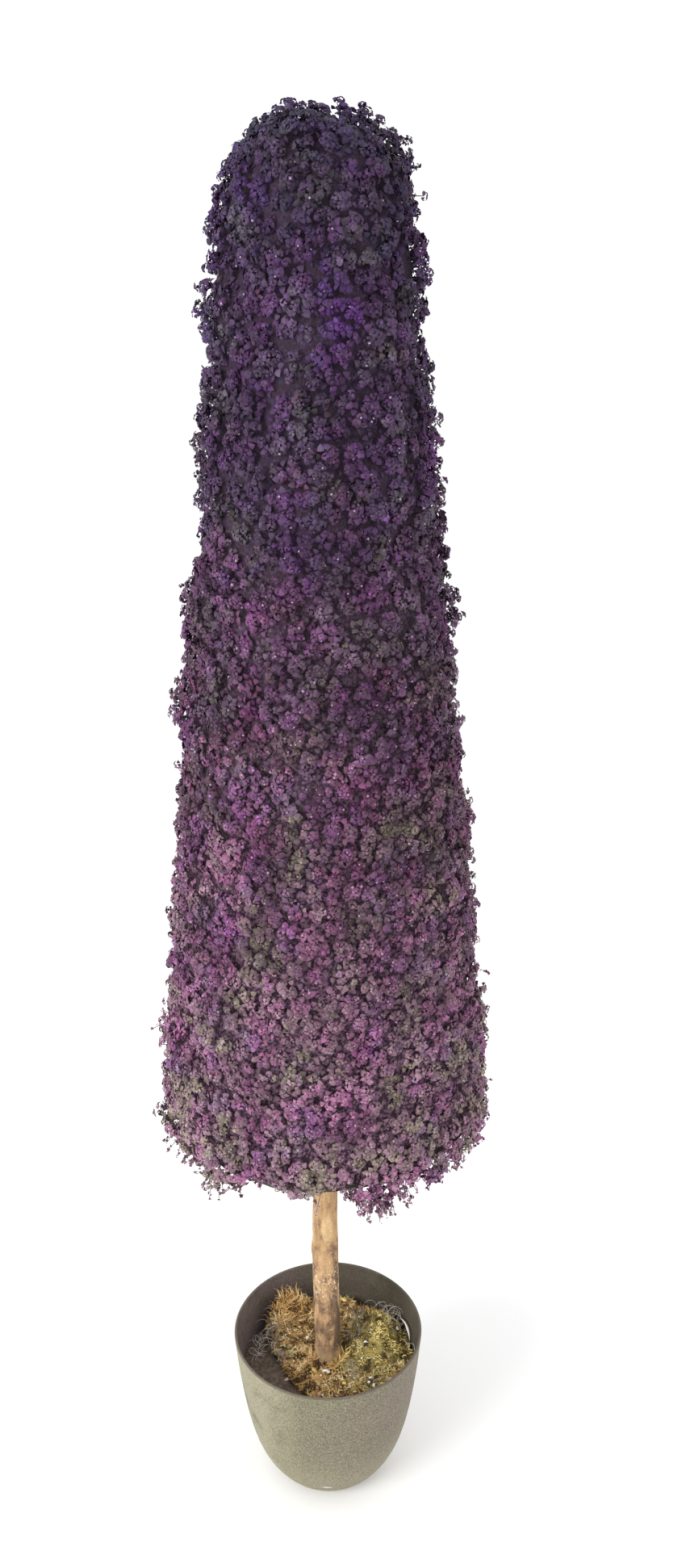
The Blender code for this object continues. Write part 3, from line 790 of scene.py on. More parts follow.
def pot_outside_finish(colour):
    """Moulded plastic with a speckled grain: pinker on the right, paler to the left as painted light, and
    paler below.
    """
    nodes = Nodes("pot_outside", specular=0.3)
    grain = nodes.noise(560, 4.0, 0.75)
    cloud = nodes.noise(22, 4.0, 0.6)
    base = tuple(colour)
    sideways = nodes.along("X", -0.07, 0.08)
    tone = nodes.mix(sideways, tinted(base, 0.99, 1.03, 0.92), tinted(base, 1.06, 0.99, 1.06))
    # Painted light: paler on the left, the side that faces the key light
    tone = nodes.mix(nodes.along("X", -0.024, -0.076), tone, tinted(base, 1.62, 1.68, 1.58))
    tone = nodes.mix(nodes.between(cloud, 0.52, 0.70), tone, tinted(base, 0.97, 1.06, 0.92))
    tone = nodes.mix(nodes.part(0.5, nodes.along("Z", 0.110, 0.030)), tone, tinted(base, 1.95, 2.0, 1.85))
    tone = nodes.times(tone, nodes.ramp(grain, (0.38, 0.52), (0.50, 1.0), (0.66, 1.0)))
    tone = nodes.mix(nodes.ramp(grain, (0.52, 0.0), (0.64, 0.65)), tone, tinted(base, 2.1))
    rim = nodes.along("Z", POT_HEIGHT - 0.0030, POT_HEIGHT - 0.0010)
    tone = nodes.mix(nodes.part(0.75, rim), tone, RIM_TINT)
    scuff = nodes.ramp(nodes.noise(140, 4.0, 0.6), (0.735, 0.0), (0.765, 1.0))
    tone = nodes.mix(nodes.times(scuff, nodes.along("Z", 0.030, 0.004)), tone, SCUFF_TINT)
    nodes.colour(nodes.mix(nodes.spot(SCRATCH, SCRATCH_SIZE), tone, SCRATCH_TINT))
    nodes.roughness(nodes.ramp(cloud, (0.3, 0.58), (0.7, 0.70)))
    nodes.bump(grain, 0.0004, 0.6)
    return nodes.finish


def pot_inside_finish(colour):
    """Dark dusty plastic: purplish on the left, with olive clouds and a mottled grain."""
    nodes = Nodes("pot_inside", specular=0.3)
    grain = nodes.noise(480, 4.0, 0.7)
    cloud = nodes.noise(34, 4.0, 0.6)
    base = tuple(colour)
    tone = nodes.mix(nodes.along("X", -0.085, 0.0), tinted(base, 1.9, 1.75, 2.3), base)
    tone = nodes.mix(nodes.between(cloud, 0.40, 0.70), tone, tinted(base, 1.30, 1.35, 1.25))
    tone = nodes.times(tone, nodes.ramp(grain, (0.34, 0.62), (0.60, 1.1)))
    nodes.colour(tone)
    nodes.roughness(nodes.ramp(cloud, (0.3, 0.55), (0.7, 0.70)))
    nodes.bump(grain, 0.0003, 0.5)
    return nodes.finish


class TOPIARY_OT_pot(bpy.types.Operator):
    """Draws the pot up from its foot, round its rim and down its inner wall"""

    bl_idname = "topiary.pot"
    bl_label = "Pot"

    def execute(self, context):
        settings = context.scene.topiary_pot
        rim = settings.rim_radius
        lip = settings.wall / 2
        profile = [(pot_radius(rim, POT_HEIGHT * (1 - d)), POT_HEIGHT * (1 - d)) for d in POT_DEPTHS]
        for i in range(RIM_TURNS + 1):
            turn = math.pi * i / RIM_TURNS
            profile.append((rim - lip + lip * math.cos(turn), POT_HEIGHT - lip + lip * math.sin(turn)))
        for depth in reversed(POT_DEPTHS[:-1]):
            z = POT_HEIGHT * (1 - depth)
            if z > POT_FLOOR * 1.2:
                slope = (pot_radius(rim, z + GAP) - pot_radius(rim, z - GAP)) / (2 * GAP)
                profile.append((pot_radius(rim, z) - settings.wall * math.hypot(1, slope), z))
        profile.append((profile[-1][0] - POT_FLOOR_INSET, POT_FLOOR))
        deselect()
        bpy.ops.mesh.primitive_circle_add(vertices=POT_SIDES, radius=profile[0][0], fill_type="NGON")
        pot = context.active_object
        pot.name = "pot_shell"
        edit_all()
        for (r0, z0), (r1, z1) in zip(profile, profile[1:]):
            bpy.ops.mesh.extrude_region_move(TRANSFORM_OT_translate={"value": (0, 0, z1 - z0)})
            bpy.ops.transform.resize(value=(r1 / r0, r1 / r0, 1), center_override=(0, 0, z1))
        close_outward()
        paint(pot, pot_outside_finish(settings.outside), pot_inside_finish(settings.inside))
        for face in pot.data.polygons:
            inward = face.normal.x * face.center.x + face.normal.y * face.center.y < 0
            on_floor = face.center.z > POT_FLOOR / 2 and face.normal.z > 0.9 and face.area > 0.001
            face.material_index = 1 if inward or on_floor else 0
        smooth(pot, 35)
        keep(pot, "pot", "pot")
        return {"FINISHED"}


# Pole


def pole_centre(z):
    """Sideways place of the pole's axis at heights."""
    rise = np.clip((z - FILLER_TOP) / (TIER_EDGES[0] - 0.01 - FILLER_TOP), 0, 1)
    return -POLE_BEND * np.sin(np.pi * rise) ** 2


def bark_finish(bark, foot):
    """Thin natural bark: golden tan above, pale flakes in a band, and mottled grey-brown near the foot with
    painted shade on its right.
    """
    nodes = Nodes("pole_bark", specular=0.2)
    streaks = nodes.noise(210, 4.0, 0.6, stretch=(1, 1, 0.09))
    blotches = nodes.noise(70, 4.0, 0.6, stretch=(1, 1, 0.5))
    mottle = nodes.noise(170, 4.0, 0.65, stretch=(1, 1, 0.8))
    fine = nodes.noise(900, 3.0, 0.7, stretch=(1, 1, 0.45))
    upper = nodes.ramp(
        blotches, (0.36, tinted(bark, 0.84)), (0.50, tuple(bark)), (0.62, tinted(bark, 1.16, 1.20, 1.28))
    )
    worn = nodes.spot((0.0, -0.015, 0.350), (0.009, 0.02, 0.022))
    upper = nodes.mix(worn, upper, tinted(bark, 1.25, 1.38, 1.40))
    lower = nodes.ramp(
        mottle, (0.36, tinted(foot, 0.62)), (0.50, tuple(foot)), (0.64, tinted(foot, 1.45, 1.40, 1.50))
    )
    lower = nodes.mix(nodes.along("Z", 0.190, 0.155), lower, tinted(foot, 2.0, 2.3, 2.05))
    # Painted shade: the lower pole darker on its right, the side away from the key light
    lower = nodes.mix(nodes.along("X", 0.004, 0.0125), lower, tinted(foot, 0.55, 0.60, 0.60))
    height = nodes.add("SeparateXYZ", Vector=nodes.place).outputs["Z"]
    level = nodes.mix(0.5, height, nodes.part(1.0, blotches))
    tone = nodes.mix(nodes.between(level, 0.335, 0.395), lower, upper)
    tone = nodes.times(tone, nodes.ramp(streaks, (0.36, 0.66), (0.54, 1.0)), 0.8)
    tone = nodes.times(tone, nodes.ramp(fine, (0.36, 0.66), (0.60, 1.08)), 0.8)
    band = nodes.spot(*FLAKE_BAND)
    flakes = nodes.ramp(nodes.noise(330, 3.0, 0.6, stretch=(1, 1, 0.8)), (0.575, 0.0), (0.61, 1.0))
    tone = nodes.mix(nodes.times(flakes, band), tone, FLAKE_TINT)
    flecks = nodes.ramp(nodes.noise(300, 2.0), (0.70, 0.0), (0.735, 1.0))
    nodes.colour(nodes.mix(flecks, tone, FLECK_TINT))
    nodes.roughness(nodes.ramp(streaks, (0.3, 0.90), (0.7, 0.70)))
    nodes.bump(nodes.mix(0.4, streaks, fine), 0.0006, 0.8)
    return nodes.finish


class TOPIARY_OT_pole(bpy.types.Operator):
    """Draws the pole up in short steps and gives it its taper, bow, knots and bark"""

    bl_idname = "topiary.pole"
    bl_label = "Pole"

    def execute(self, context):
        settings = context.scene.topiary_pole
        foot = FILLER_TOP + GAP
        shown = TIER_EDGES[0] + POLE_COVERED
        levels = [*np.arange(foot, shown, POLE_STEP), *np.linspace(shown, POLE_TIP, POLE_HIDDEN_STEPS)]
        pole = ring_stack("pole", POLE_SIDES, [float(z) for z in levels])
        points = points_of(pole)
        azimuth = np.arctan2(points[:, 1], points[:, 0])
        z = points[:, 2].copy()
        rise = (z - FILLER_TOP) / (POLE_TIP - FILLER_TOP)
        radius = settings.foot_radius + (settings.tip_radius - settings.foot_radius) * rise
        around = np.stack([np.cos(azimuth), np.sin(azimuth)], axis=1)
        radius += settings.relief * np.array([self.stand(x, y, level) for (x, y), level in zip(around, z)])
        depth, smaller = KNOT_PIT
        for height, degrees, size, knot in KNOTS:
            off = angle_between(azimuth, math.radians(degrees)) * settings.foot_radius / (size * KNOT_WIDTH)
            rest = (z - height) / size
            radius += knot * np.exp(-(rest**2) - off**2)
            radius -= depth * knot * np.exp(-((rest * smaller) ** 2) - (off * smaller) ** 2)
        radius[z > POLE_TIP - TIP_BEVEL] *= 0.8
        points[:, 0] = pole_centre(z) + radius * around[:, 0]
        points[:, 1] = radius * around[:, 1]
        move_points(pole, points)
        smooth(pole, 50)
        paint(pole, bark_finish(settings.bark, settings.foot))
        keep(pole, "pole", "trunk")
        return {"FINISHED"}

    def stand(self, x, y, z):
        """How far the bark stands out, as a share of its relief."""
        fine, along, ridged = BARK_RIDGES
        ridges = noise.noise(Vector((x * fine, y * fine, z * along)))
        fine, along, cracked = BARK_CRACKS
        cracks = noise.ridged_multi_fractal(Vector((x * fine, y * fine, z * along)), 0.8, 2.1, 4, 1.0, 2.0)
        fine, along, lumped = BARK_LUMPS
        lumps = noise.noise(Vector((x * fine, y * fine, z * along + 5)))
        return ridged * ridges + cracked * (cracks - 1.0) + lumped * lumps


# Foliage


class Column:
    """The clipped outline of the foliage, by distance along it from under its foot to its apex."""

    def __init__(self, settings):
        self.bottom_radius = settings.bottom_radius
        self.top_radius = settings.top_radius
        rng = random.Random(RIPPLE_SEED)
        self.phases = [rng.uniform(0, TAU) for _ in RIPPLE_WAVES]
        edge = FOLIAGE_BOTTOM + EDGE_RADIUS
        middle = self.side(edge) - EDGE_RADIUS
        start, rise = UNDERSIDE_START
        points = [(start, FOLIAGE_BOTTOM + rise)]
        for turn in np.linspace(-math.pi / 2, 0, EDGE_STEPS + 1):
            points.append((middle + EDGE_RADIUS * math.cos(turn), edge + EDGE_RADIUS * math.sin(turn)))
        shoulder = FOLIAGE_TOP - DOME_HEIGHT
        for z in np.linspace(edge, shoulder, SIDE_STEPS + 1)[1:]:
            points.append((self.side(z), z))
        for turn in np.linspace(0, math.pi / 2, DOME_STEPS + 1)[1:]:
            z = shoulder + DOME_HEIGHT * math.sin(turn) ** (2 / DOME_POWER)
            points.append((self.side(z) * max(0.0, math.cos(turn)) ** (2 / DOME_POWER), z))
        points = np.array(points, dtype=float)
        steps = np.diff(points, axis=0)
        self.lengths = np.concatenate([[0.0], np.cumsum(np.hypot(steps[:, 0], steps[:, 1]))])
        self.radii, self.heights = points[:, 0], points[:, 1]
        self.total = float(self.lengths[-1])

    def side(self, z):
        """Radius of the cone at heights, before its top rounds over."""
        rise = (z - FOLIAGE_BOTTOM) / (FOLIAGE_TOP - FOLIAGE_BOTTOM)
        swell = np.sin(np.pi * np.clip(rise / BELLY_SPAN, 0, 1))
        return self.bottom_radius + (self.top_radius - self.bottom_radius) * rise + BELLY * swell

    def at(self, length):
        """Radius, height and outward direction at distances along the outline."""
        (r0, z0), (radius, z), (r1, z1) = (
            [np.interp(length + step, self.lengths, values) for values in (self.radii, self.heights)]
            for step in (-OUTLINE_STEP, 0.0, OUTLINE_STEP)
        )
        run, rise = r1 - r0, z1 - z0
        span = np.maximum(np.hypot(run, rise), 1e-9)
        return radius, z, rise / span, -run / span

    def ripple(self, azimuth, z):
        """How far the foliage stands out of its clean outline."""
        total = np.zeros_like(azimuth)
        for (turns, pitch), phase in zip(RIPPLE_WAVES, self.phases):
            total = total + RIPPLE * np.sin(turns * azimuth + pitch * z + phase)
        for degrees, height, reach in BULGES:
            off = angle_between(azimuth, math.radians(degrees)) / BULGE_WIDTH
            total = total + reach * np.exp(-(off**2) - ((z - height) / BULGE_HEIGHT) ** 2)
        return total

    def drop(self, azimuth, radius, z, up):
        """How far the foliage moves down where the lower edge hangs, or up where it is drawn up."""
        slope, span = EDGE_FACING
        hangs = np.clip(slope - up, 0, span) / span
        yields = np.clip((FOLIAGE_BOTTOM + EDGE_SQUEEZE - z) / EDGE_SQUEEZE, 0, 1)
        total = np.zeros_like(azimuth)
        for degrees, width, depth in EDGE_WAVES:
            off = angle_between(azimuth, math.radians(degrees)) / math.radians(width)
            total = total + depth * np.exp(-(off**4)) * (hangs if depth > 0 else yields)
        rate, start = EDGE_FADE
        return total * np.clip(radius / self.bottom_radius * rate - start, 0, 1)

    def surface(self, length, azimuth, lift=0.0):
        """Places on the surface, lifted out of it, and the way that they face."""
        radius, z, out, up = self.at(length)
        stand = self.ripple(azimuth, z) - FLORET_INSET + lift
        ring = np.stack([np.cos(azimuth), np.sin(azimuth)], axis=1)
        height = z + up * stand - self.drop(azimuth, radius, z, up)
        flat = radius + out * stand
        place = np.column_stack([ring * flat[:, None], height])
        return place, unit(np.column_stack([ring * out[:, None], up]))

    def scatter(self, spacing, jitter, rng):
        """Staggered rows of places over the whole surface, each moved a little."""
        rows = round(self.total / (spacing * ROW_SPACING))
        lengths, azimuths = [], []
        for row in range(rows):
            level = (row + 0.5) * self.total / rows
            radius = float(np.interp(level, self.lengths, self.radii))
            count = max(1, round(TAU * radius / spacing))
            steps = np.arange(count) + 0.5 * (row % 2) + rng.uniform(-jitter, jitter, count)
            azimuths.append(TAU * steps / count)
            lengths.append(level + spacing * rng.uniform(-jitter, jitter, count))
        return np.clip(np.concatenate(lengths), 0, self.total - 1e-4), np.concatenate(azimuths)


def seam(tier, azimuth):
    """Height of the seam under a tier, or over the last one, at azimuths."""
    if tier == 0:
        return np.full_like(azimuth, TIER_EDGES[0])
    if tier == len(TIER_EDGES):
        return np.full_like(azimuth, FOLIAGE_TOP - CORE_DEPTH)
    return TIER_EDGES[tier] + SEAM_WAVE * np.sin(SEAM_TURNS * azimuth + 2 * tier)


def tier_of(places):
    """The tier that each place belongs to."""
    azimuth = np.arctan2(places[:, 1], places[:, 0])
    tier = np.zeros(len(places), dtype=int)
    for edge in range(1, len(TIER_EDGES)):
        tier[places[:, 2] > seam(edge, azimuth)] = edge
    return tier


def tier_node(tier):
    """The name of the tier's CAD node."""
    return "foliage_crown" if tier == len(TIER_EDGES) - 1 else f"foliage_tier_{tier + 1}"


def core_finish(colour):
    """The mat under the florets: dark and mottled with painted shade, painted lighter low down and darker
    high up, bluer high up, green below.
    """
    nodes = Nodes("foliage_core", roughness=0.85, specular=0.15)
    weave_and_shade = nodes.noise(330, 2.0)
    cloud = nodes.noise(55, 3.0)
    base = tuple(colour)
    tone = nodes.mix(nodes.between(cloud, 0.45, 0.65), base, tinted(base, 0.9, 1.2, 0.9))
    # Painted light low down and painted shade high up, where the mat also turns bluer
    tone = nodes.mix(nodes.along("Z", 1.00, 0.65), tone, tinted(base, 1.7))
    tone = nodes.mix(nodes.along("Z", 0.90, 1.25), tone, tinted(base, 0.40, 0.52, 0.66))
    rim = nodes.along("Z", TIER_EDGES[0] + 0.014, TIER_EDGES[0] + 0.008)
    tone = nodes.mix(rim, tone, CORE_RIM_TINT)
    # Painted shade: the weave's dark pockets stand in for florets in shade
    nodes.colour(nodes.mix(nodes.between(weave_and_shade, 0.42, 0.62), tinted(base, 0.35), tone))
    nodes.bump(weave_and_shade, 0.003)
    return nodes.finish


class TOPIARY_OT_cores(bpy.types.Operator):
    """Draws up the dark core of each tier, from which its sprays stand"""

    bl_idname = "topiary.cores"
    bl_label = "Cores"

    def execute(self, context):
        settings = context.scene.topiary_foliage
        column = Column(settings)
        finish = core_finish(settings.core)
        for tier, low in enumerate(TIER_EDGES):
            top = tier == len(TIER_EDGES) - 1
            high = FOLIAGE_TOP - CORE_DEPTH if top else TIER_EDGES[tier + 1]
            shares = np.linspace(0, 1, round((high - low) / CORE_STEP) + 1)
            if top:
                shares = 1 - (1 - shares) ** CORE_CROWDING
            core = ring_stack(f"core_{tier + 1}", CORE_SIDES, [float(share) for share in shares])
            points = points_of(core)
            azimuth = np.arctan2(points[:, 1], points[:, 0])
            floor = seam(tier, azimuth)
            z = floor + (seam(tier + 1, azimuth) - floor) * points[:, 2]
            radius = column.side(z) - CORE_DEPTH + CORE_RIPPLE * column.ripple(azimuth, z)
            if top:
                shoulder = FOLIAGE_TOP - DOME_HEIGHT
                over = np.clip((z - shoulder) / (DOME_HEIGHT - CORE_DEPTH + 0.001), 0, 1)
                radius = radius * (1 - over**DOME_POWER) ** (1 / DOME_POWER)
            if tier == 0:
                tuck, height = CORE_TUCK
                radius = radius - tuck * (1 - np.clip((z - low) / height, 0, 1)) ** 2
            places = np.column_stack([radius * np.cos(azimuth), radius * np.sin(azimuth), z])
            lumps = np.array([noise.noise(Vector(place) * LUMPS_SCALE) for place in places])
            places[:, :2] *= (1 + CORE_LUMPS * lumps / np.maximum(radius, 0.02))[:, None]
            move_points(core, places)
            smooth(core, 60)
            paint(core, finish)
            keep(core, "foliage", tier_node(tier))
        return {"FINISHED"}


def floret_shape(lobes):
    """One tiny floret: a star of lobes round a raised middle."""
    points = [(0.0, 0.0, FLORET_CROWN)]
    for i in range(2 * lobes):
        turn = math.pi * i / lobes
        reach = FLORET_WAIST if i % 2 else 1.0
        points.append((reach * math.cos(turn), reach * math.sin(turn), 0.0 if i % 2 else -FLORET_DROOP))
    return np.array(points), [(0, 1 + i, 1 + (i + 1) % (2 * lobes)) for i in range(2 * lobes)]


def highlight_shape():
    """The raised middle of a floret, painted pale as a highlight where it catches the light."""
    low, high = HIGHLIGHT_RISE
    points = []
    for turn in (0, math.pi / 2, math.pi, 3 * math.pi / 2):
        points.append((HIGHLIGHT_REACH * math.cos(turn), HIGHLIGHT_REACH * math.sin(turn), low))
    return np.array([*points, (0.0, 0.0, high)]), [(i, (i + 1) % 4, 4) for i in range(4)]


def nearest(places, centres):
    """The number of the centre that is nearest to each place."""
    found = np.empty(len(places), dtype=int)
    for first in range(0, len(places), 500):
        apart = places[first : first + 500, None] - centres
        found[first : first + 500] = (apart**2).sum(axis=2).argmin(axis=1)
    return found


def patchy(places, shift):
    """Smooth noise at places, in patches."""
    offset = Vector((shift, -0.7 * shift, 0.4 * shift))
    return np.array([noise.noise(Vector(place) * PATCH_SCALE + offset) for place in places])


def rosette_tints(places, rng):
    """How blue, how green and how light each rosette is, as places in the lists of tints."""
    result = []
    azimuth = np.arctan2(places[:, 1], places[:, 0])
    radius = np.hypot(places[:, 0], places[:, 1])
    for k, (by_height, (patch, single, _)) in enumerate(TINT_FIELDS):
        value = graded(places[:, 2], by_height) + rng.normal(0, single, len(places))
        value += patch * (patchy(places, 11.0 + 7 * k) + 0.5 * patchy(places * FINE_PATCHES, 40.0 + 7 * k))
        for degrees, height, spread, *steps in PATCHES:
            off = angle_between(azimuth, math.radians(degrees)) * radius
            value += steps[k] * np.exp(-((off**2 + (places[:, 2] - height) ** 2) / spread**2))
        result.append(value)
    return result


def tint_numbers(blue, green, strength):
    """Places in the list of finishes for how blue, how green and how light florets are."""
    numbers = 0
    for values, tints in ((blue, BLUES), (green, GREENS), (strength, STRENGTHS)):
        numbers = numbers * len(tints) + np.clip(np.round(values), 0, len(tints) - 1).astype(int)
    return numbers


def floret_finishes():
    """The finishes of all tints, by blue, then green, then strength, with the painted highlights' last."""
    finishes = []
    for blue_name, blue in BLUES:
        for green_name, green, kept in GREENS:
            red = TINT_SUM / (1 + green + blue * kept)
            tone = (red, red * green, red * blue * kept)
            for i, amount in enumerate(STRENGTHS):
                name = f"floret_{blue_name}_{green_name}_{i + 1}"
                finishes.append(plain_finish(name, tuple(amount * share for share in tone), 0.55, 0.18))
    finishes.append(plain_finish("floret_spark", HIGHLIGHT_TINT, 0.4, 0.4))
    return finishes


def floret_piece(name, tier, finishes, florets, batches):
    """One tier's florets, in batches of a shape, the florets that take it, and every floret's tint."""
    groups, tints = [], []
    for (shape, faces), chosen, tint in batches:
        groups.append(copies(shape, faces, *(values[chosen] for values in florets)))
        tints.append(np.repeat(tint[chosen], len(faces)))
    taken, indices = np.unique(np.concatenate(tints), return_inverse=True)
    piece = joined(name, *gathered(groups), indices)
    paint(piece, *[finishes[i] for i in taken])
    keep(piece, "foliage", tier_node(tier))


def bent(start, reach, heading, bend, shares):
    """Places at shares of the length of threads that set out one way and bend another."""
    shares = shares[..., None]
    return start[:, None] + reach[:, None, None] * (heading[:, None] * shares + bend[:, None] * shares**2)


class Sprays:
    """The stems out of the core, their forks, and their hearts on the surface."""

    def __init__(self, column, rng):
        lengths, azimuths = column.scatter(SPRAY_SPACING, SPRAY_JITTER, rng)
        self.lift = rng.normal(0, SPRAY_LIFT, len(lengths))
        self.lift += SPRAY_SWELL * patchy(column.surface(lengths, azimuths)[0], SWELL_SHIFT)
        self.hearts, outward = column.surface(lengths, azimuths, self.lift)
        self.lean = rng.normal(0, SPRAY_LEAN, (len(lengths), 3))
        self.roots = column.surface(lengths, azimuths, FLORET_INSET - CORE_DEPTH - ROOT_DEPTH)[0]
        self.forks = self.hearts - unit(outward + self.lean) * FORK_DEPTH

    def nearest(self, flat, outward):
        """The spray nearest to each place, and the way from its heart along the surface."""
        spray = nearest(flat, self.hearts)
        off = flat - self.hearts[spray]
        return spray, off - outward * (off * outward).sum(axis=1, keepdims=True)


class TOPIARY_OT_florets(bpy.types.Operator):
    """Spreads sprays of floret rosettes over the whole clipped column, and loose sprigs"""

    bl_idname = "topiary.florets"
    bl_label = "Florets and stalks"

    def execute(self, context):
        settings = context.scene.topiary_foliage
        column = Column(settings)
        rng = np.random.default_rng(settings.seed)
        sprays = Sprays(column, rng)
        spray, outward, tops, axes, sizes = self.rosettes(column, sprays, rng)
        centres = tops - axes * sizes[:, None]
        owner, places, facing = self.rings(outward, axes, sizes, centres, rng)
        fields = [field[owner] for field in rosette_tints(tops, rng)]

        # Loose sprigs, whose florets take the tints of their place
        paths, ends, ends_facing = self.sprigs(column, rng)
        fields = [np.concatenate(pair) for pair in zip(fields, rosette_tints(ends, rng))]
        places, facing = np.concatenate([places, ends]), np.concatenate([facing, ends_facing])

        total = len(places)
        changes = [change for _, (_, _, change) in TINT_FIELDS]
        tint = tint_numbers(*[field + rng.normal(0, change, total) for field, change in zip(fields, changes)])
        scales = settings.floret_radius * rng.uniform(*FLORET_SIZES, total)
        florets = (places, facing, rng.uniform(0, TAU, total), scales)
        lobes = np.where(np.arange(total) < len(tops), 4, 3)
        # Painted highlights: some florets get a pale middle, more often where they face down and low on the
        # column
        chance = graded(facing[:, 2], HIGHLIGHT_BY_FACING) * graded(places[:, 2], HIGHLIGHT_BY_HEIGHT)
        highlights = rng.random(total) < chance
        finishes = floret_finishes()
        highlight_tint = np.full(total, len(finishes) - 1)
        inner, inner_tint = self.inner_florets(column, sprays, rng)
        stalk_finishes = plain_finishes(STALK_TINTS, 0.6, 0.2)

        tiers, inner_tiers, stem_tiers, rosette_tiers, sprig_tiers = (
            tier_of(group) for group in (places, inner[0], sprays.hearts, tops, paths[:, 0])
        )
        for tier in range(len(TIER_EDGES)):
            mine = tiers == tier
            batches = [(floret_shape(number), mine & (lobes == number), tint) for number in (3, 4)]
            batches.append((highlight_shape(), mine & highlights, highlight_tint))
            floret_piece(f"florets_{tier + 1}", tier, finishes, florets, batches)
            batch = (floret_shape(3), inner_tiers == tier, inner_tint)
            floret_piece(f"inner_florets_{tier + 1}", tier, finishes, inner, [batch])

            here, stems = rosette_tiers == tier, stem_tiers == tier
            branches = np.stack([sprays.forks[spray[here]], centres[here]], axis=1)
            trunks = np.stack([sprays.roots[stems], sprays.forks[stems]], axis=1)
            threads = (
                tubes(branches, STALK_RADII),
                tubes(trunks, STEM_RADII),
                tubes(paths[sprig_tiers == tier], STALK_RADII[1]),
            )
            stalks = joined(f"stalks_{tier + 1}", *gathered(threads))
            # Painted light and shade: pale stalks on the lower tiers, dark ones higher up
            paint(stalks, stalk_finishes[tier >= SHADED_STALK_TIER])
            keep(stalks, "foliage", tier_node(tier))
        return {"FINISHED"}

    def rosettes(self, column, sprays, rng):
        """Rosettes, evenly scattered, then drawn to the spray that each belongs to."""
        lengths, azimuths = column.scatter(ROSETTE_SPACING, ROSETTE_JITTER, rng)
        shown = (column.at(lengths)[3] > UNDERSIDE_SLOPE) | (rng.random(len(lengths)) < UNDERSIDE_SHARE)
        flat, outward = column.surface(lengths[shown], azimuths[shown])
        count = len(flat)
        spray, off = sprays.nearest(flat, outward)
        far = off / (SPRAY_SPACING / 2)
        lift = sprays.lift[spray] + rng.normal(0, ROSETTE_LIFT, count) - SPRAY_DOME * (far**2).sum(axis=1)
        lift += (rng.random(count) < PROUD_SHARE) * rng.uniform(*PROUD_REACH, count)
        tops = flat + outward * lift[:, None] - off * ROSETTE_GATHER
        lean = sprays.lean[spray]
        axes = unit(outward + lean + SPRAY_SPREAD * far + rng.normal(0, ROSETTE_LEAN, (count, 3)))
        return spray, outward, tops, axes, ROSETTE_RADIUS * rng.uniform(*ROSETTE_SIZES, count)

    def rings(self, outward, axes, sizes, centres, rng):
        """The rosettes' florets, one in the middle and a ring round it: rosettes, places and directions."""
        count = len(axes)
        ringed = rng.choice(ROSETTE_FLORETS, count)
        first = rng.uniform(0, TAU, count)
        owner, tilt, turn = [np.arange(count)], [rng.normal(0, ROSETTE_SPREAD, count)], [first]
        for i in range(max(ROSETTE_FLORETS)):
            held = np.flatnonzero(ringed > i)
            owner.append(held)
            tilt.append(ROSETTE_TILT + rng.normal(0, ROSETTE_SPREAD, len(held)))
            turn.append(first[held] + TAU * i / ringed[held] + rng.normal(0, RING_JITTER, len(held)))
        owner, tilt, turn = (np.concatenate(parts) for parts in (owner, tilt, turn))
        side, other = across(axes)
        ray = (
            axes[owner] * np.cos(tilt)[:, None]
            + side[owner] * (np.sin(tilt) * np.cos(turn))[:, None]
            + other[owner] * (np.sin(tilt) * np.sin(turn))[:, None]
        )
        places = centres[owner] + ray * sizes[owner][:, None]
        return owner, places, unit(ray + FLORET_OUT * outward[owner] + rng.normal(0, FLORET_TURN, ray.shape))

    def inner_florets(self, column, sprays, rng):
        """The layer in shade: its florets' places, directions, turns and sizes, and their tints."""
        flat, outward = column.surface(*column.scatter(INNER_SPACING, ROSETTE_JITTER, rng))
        count = len(flat)
        spray, off = sprays.nearest(flat, outward)
        lift = sprays.lift[spray] - INNER_DEPTH + rng.normal(0, ROSETTE_LIFT / 2, count)
        lift -= SPRAY_DOME * ((off / (SPRAY_SPACING / 2)) ** 2).sum(axis=1)
        middles = flat + outward * lift[:, None] - off * INNER_GATHER
        blue, green, strength = (np.tile(field, 2) for field in rosette_tints(middles, rng))
        strength += rng.normal(0, STRENGTH_CHANGE[2], 2 * count)
        side, other = across(outward)
        turn = rng.uniform(0, TAU, (count, 1))
        apart = INNER_APART * (side * np.cos(turn) + other * np.sin(turn))
        places = np.concatenate([middles + apart, middles - apart])
        facing = unit(np.tile(outward, (2, 1)) + rng.normal(0, 2 * FLORET_TURN, (2 * count, 3)))
        scales = INNER_RADIUS * rng.uniform(*FLORET_SIZES, 2 * count)
        florets = (places, facing, rng.uniform(0, TAU, 2 * count), scales)
        return florets, tint_numbers(blue, green, strength - INNER_SHADE)

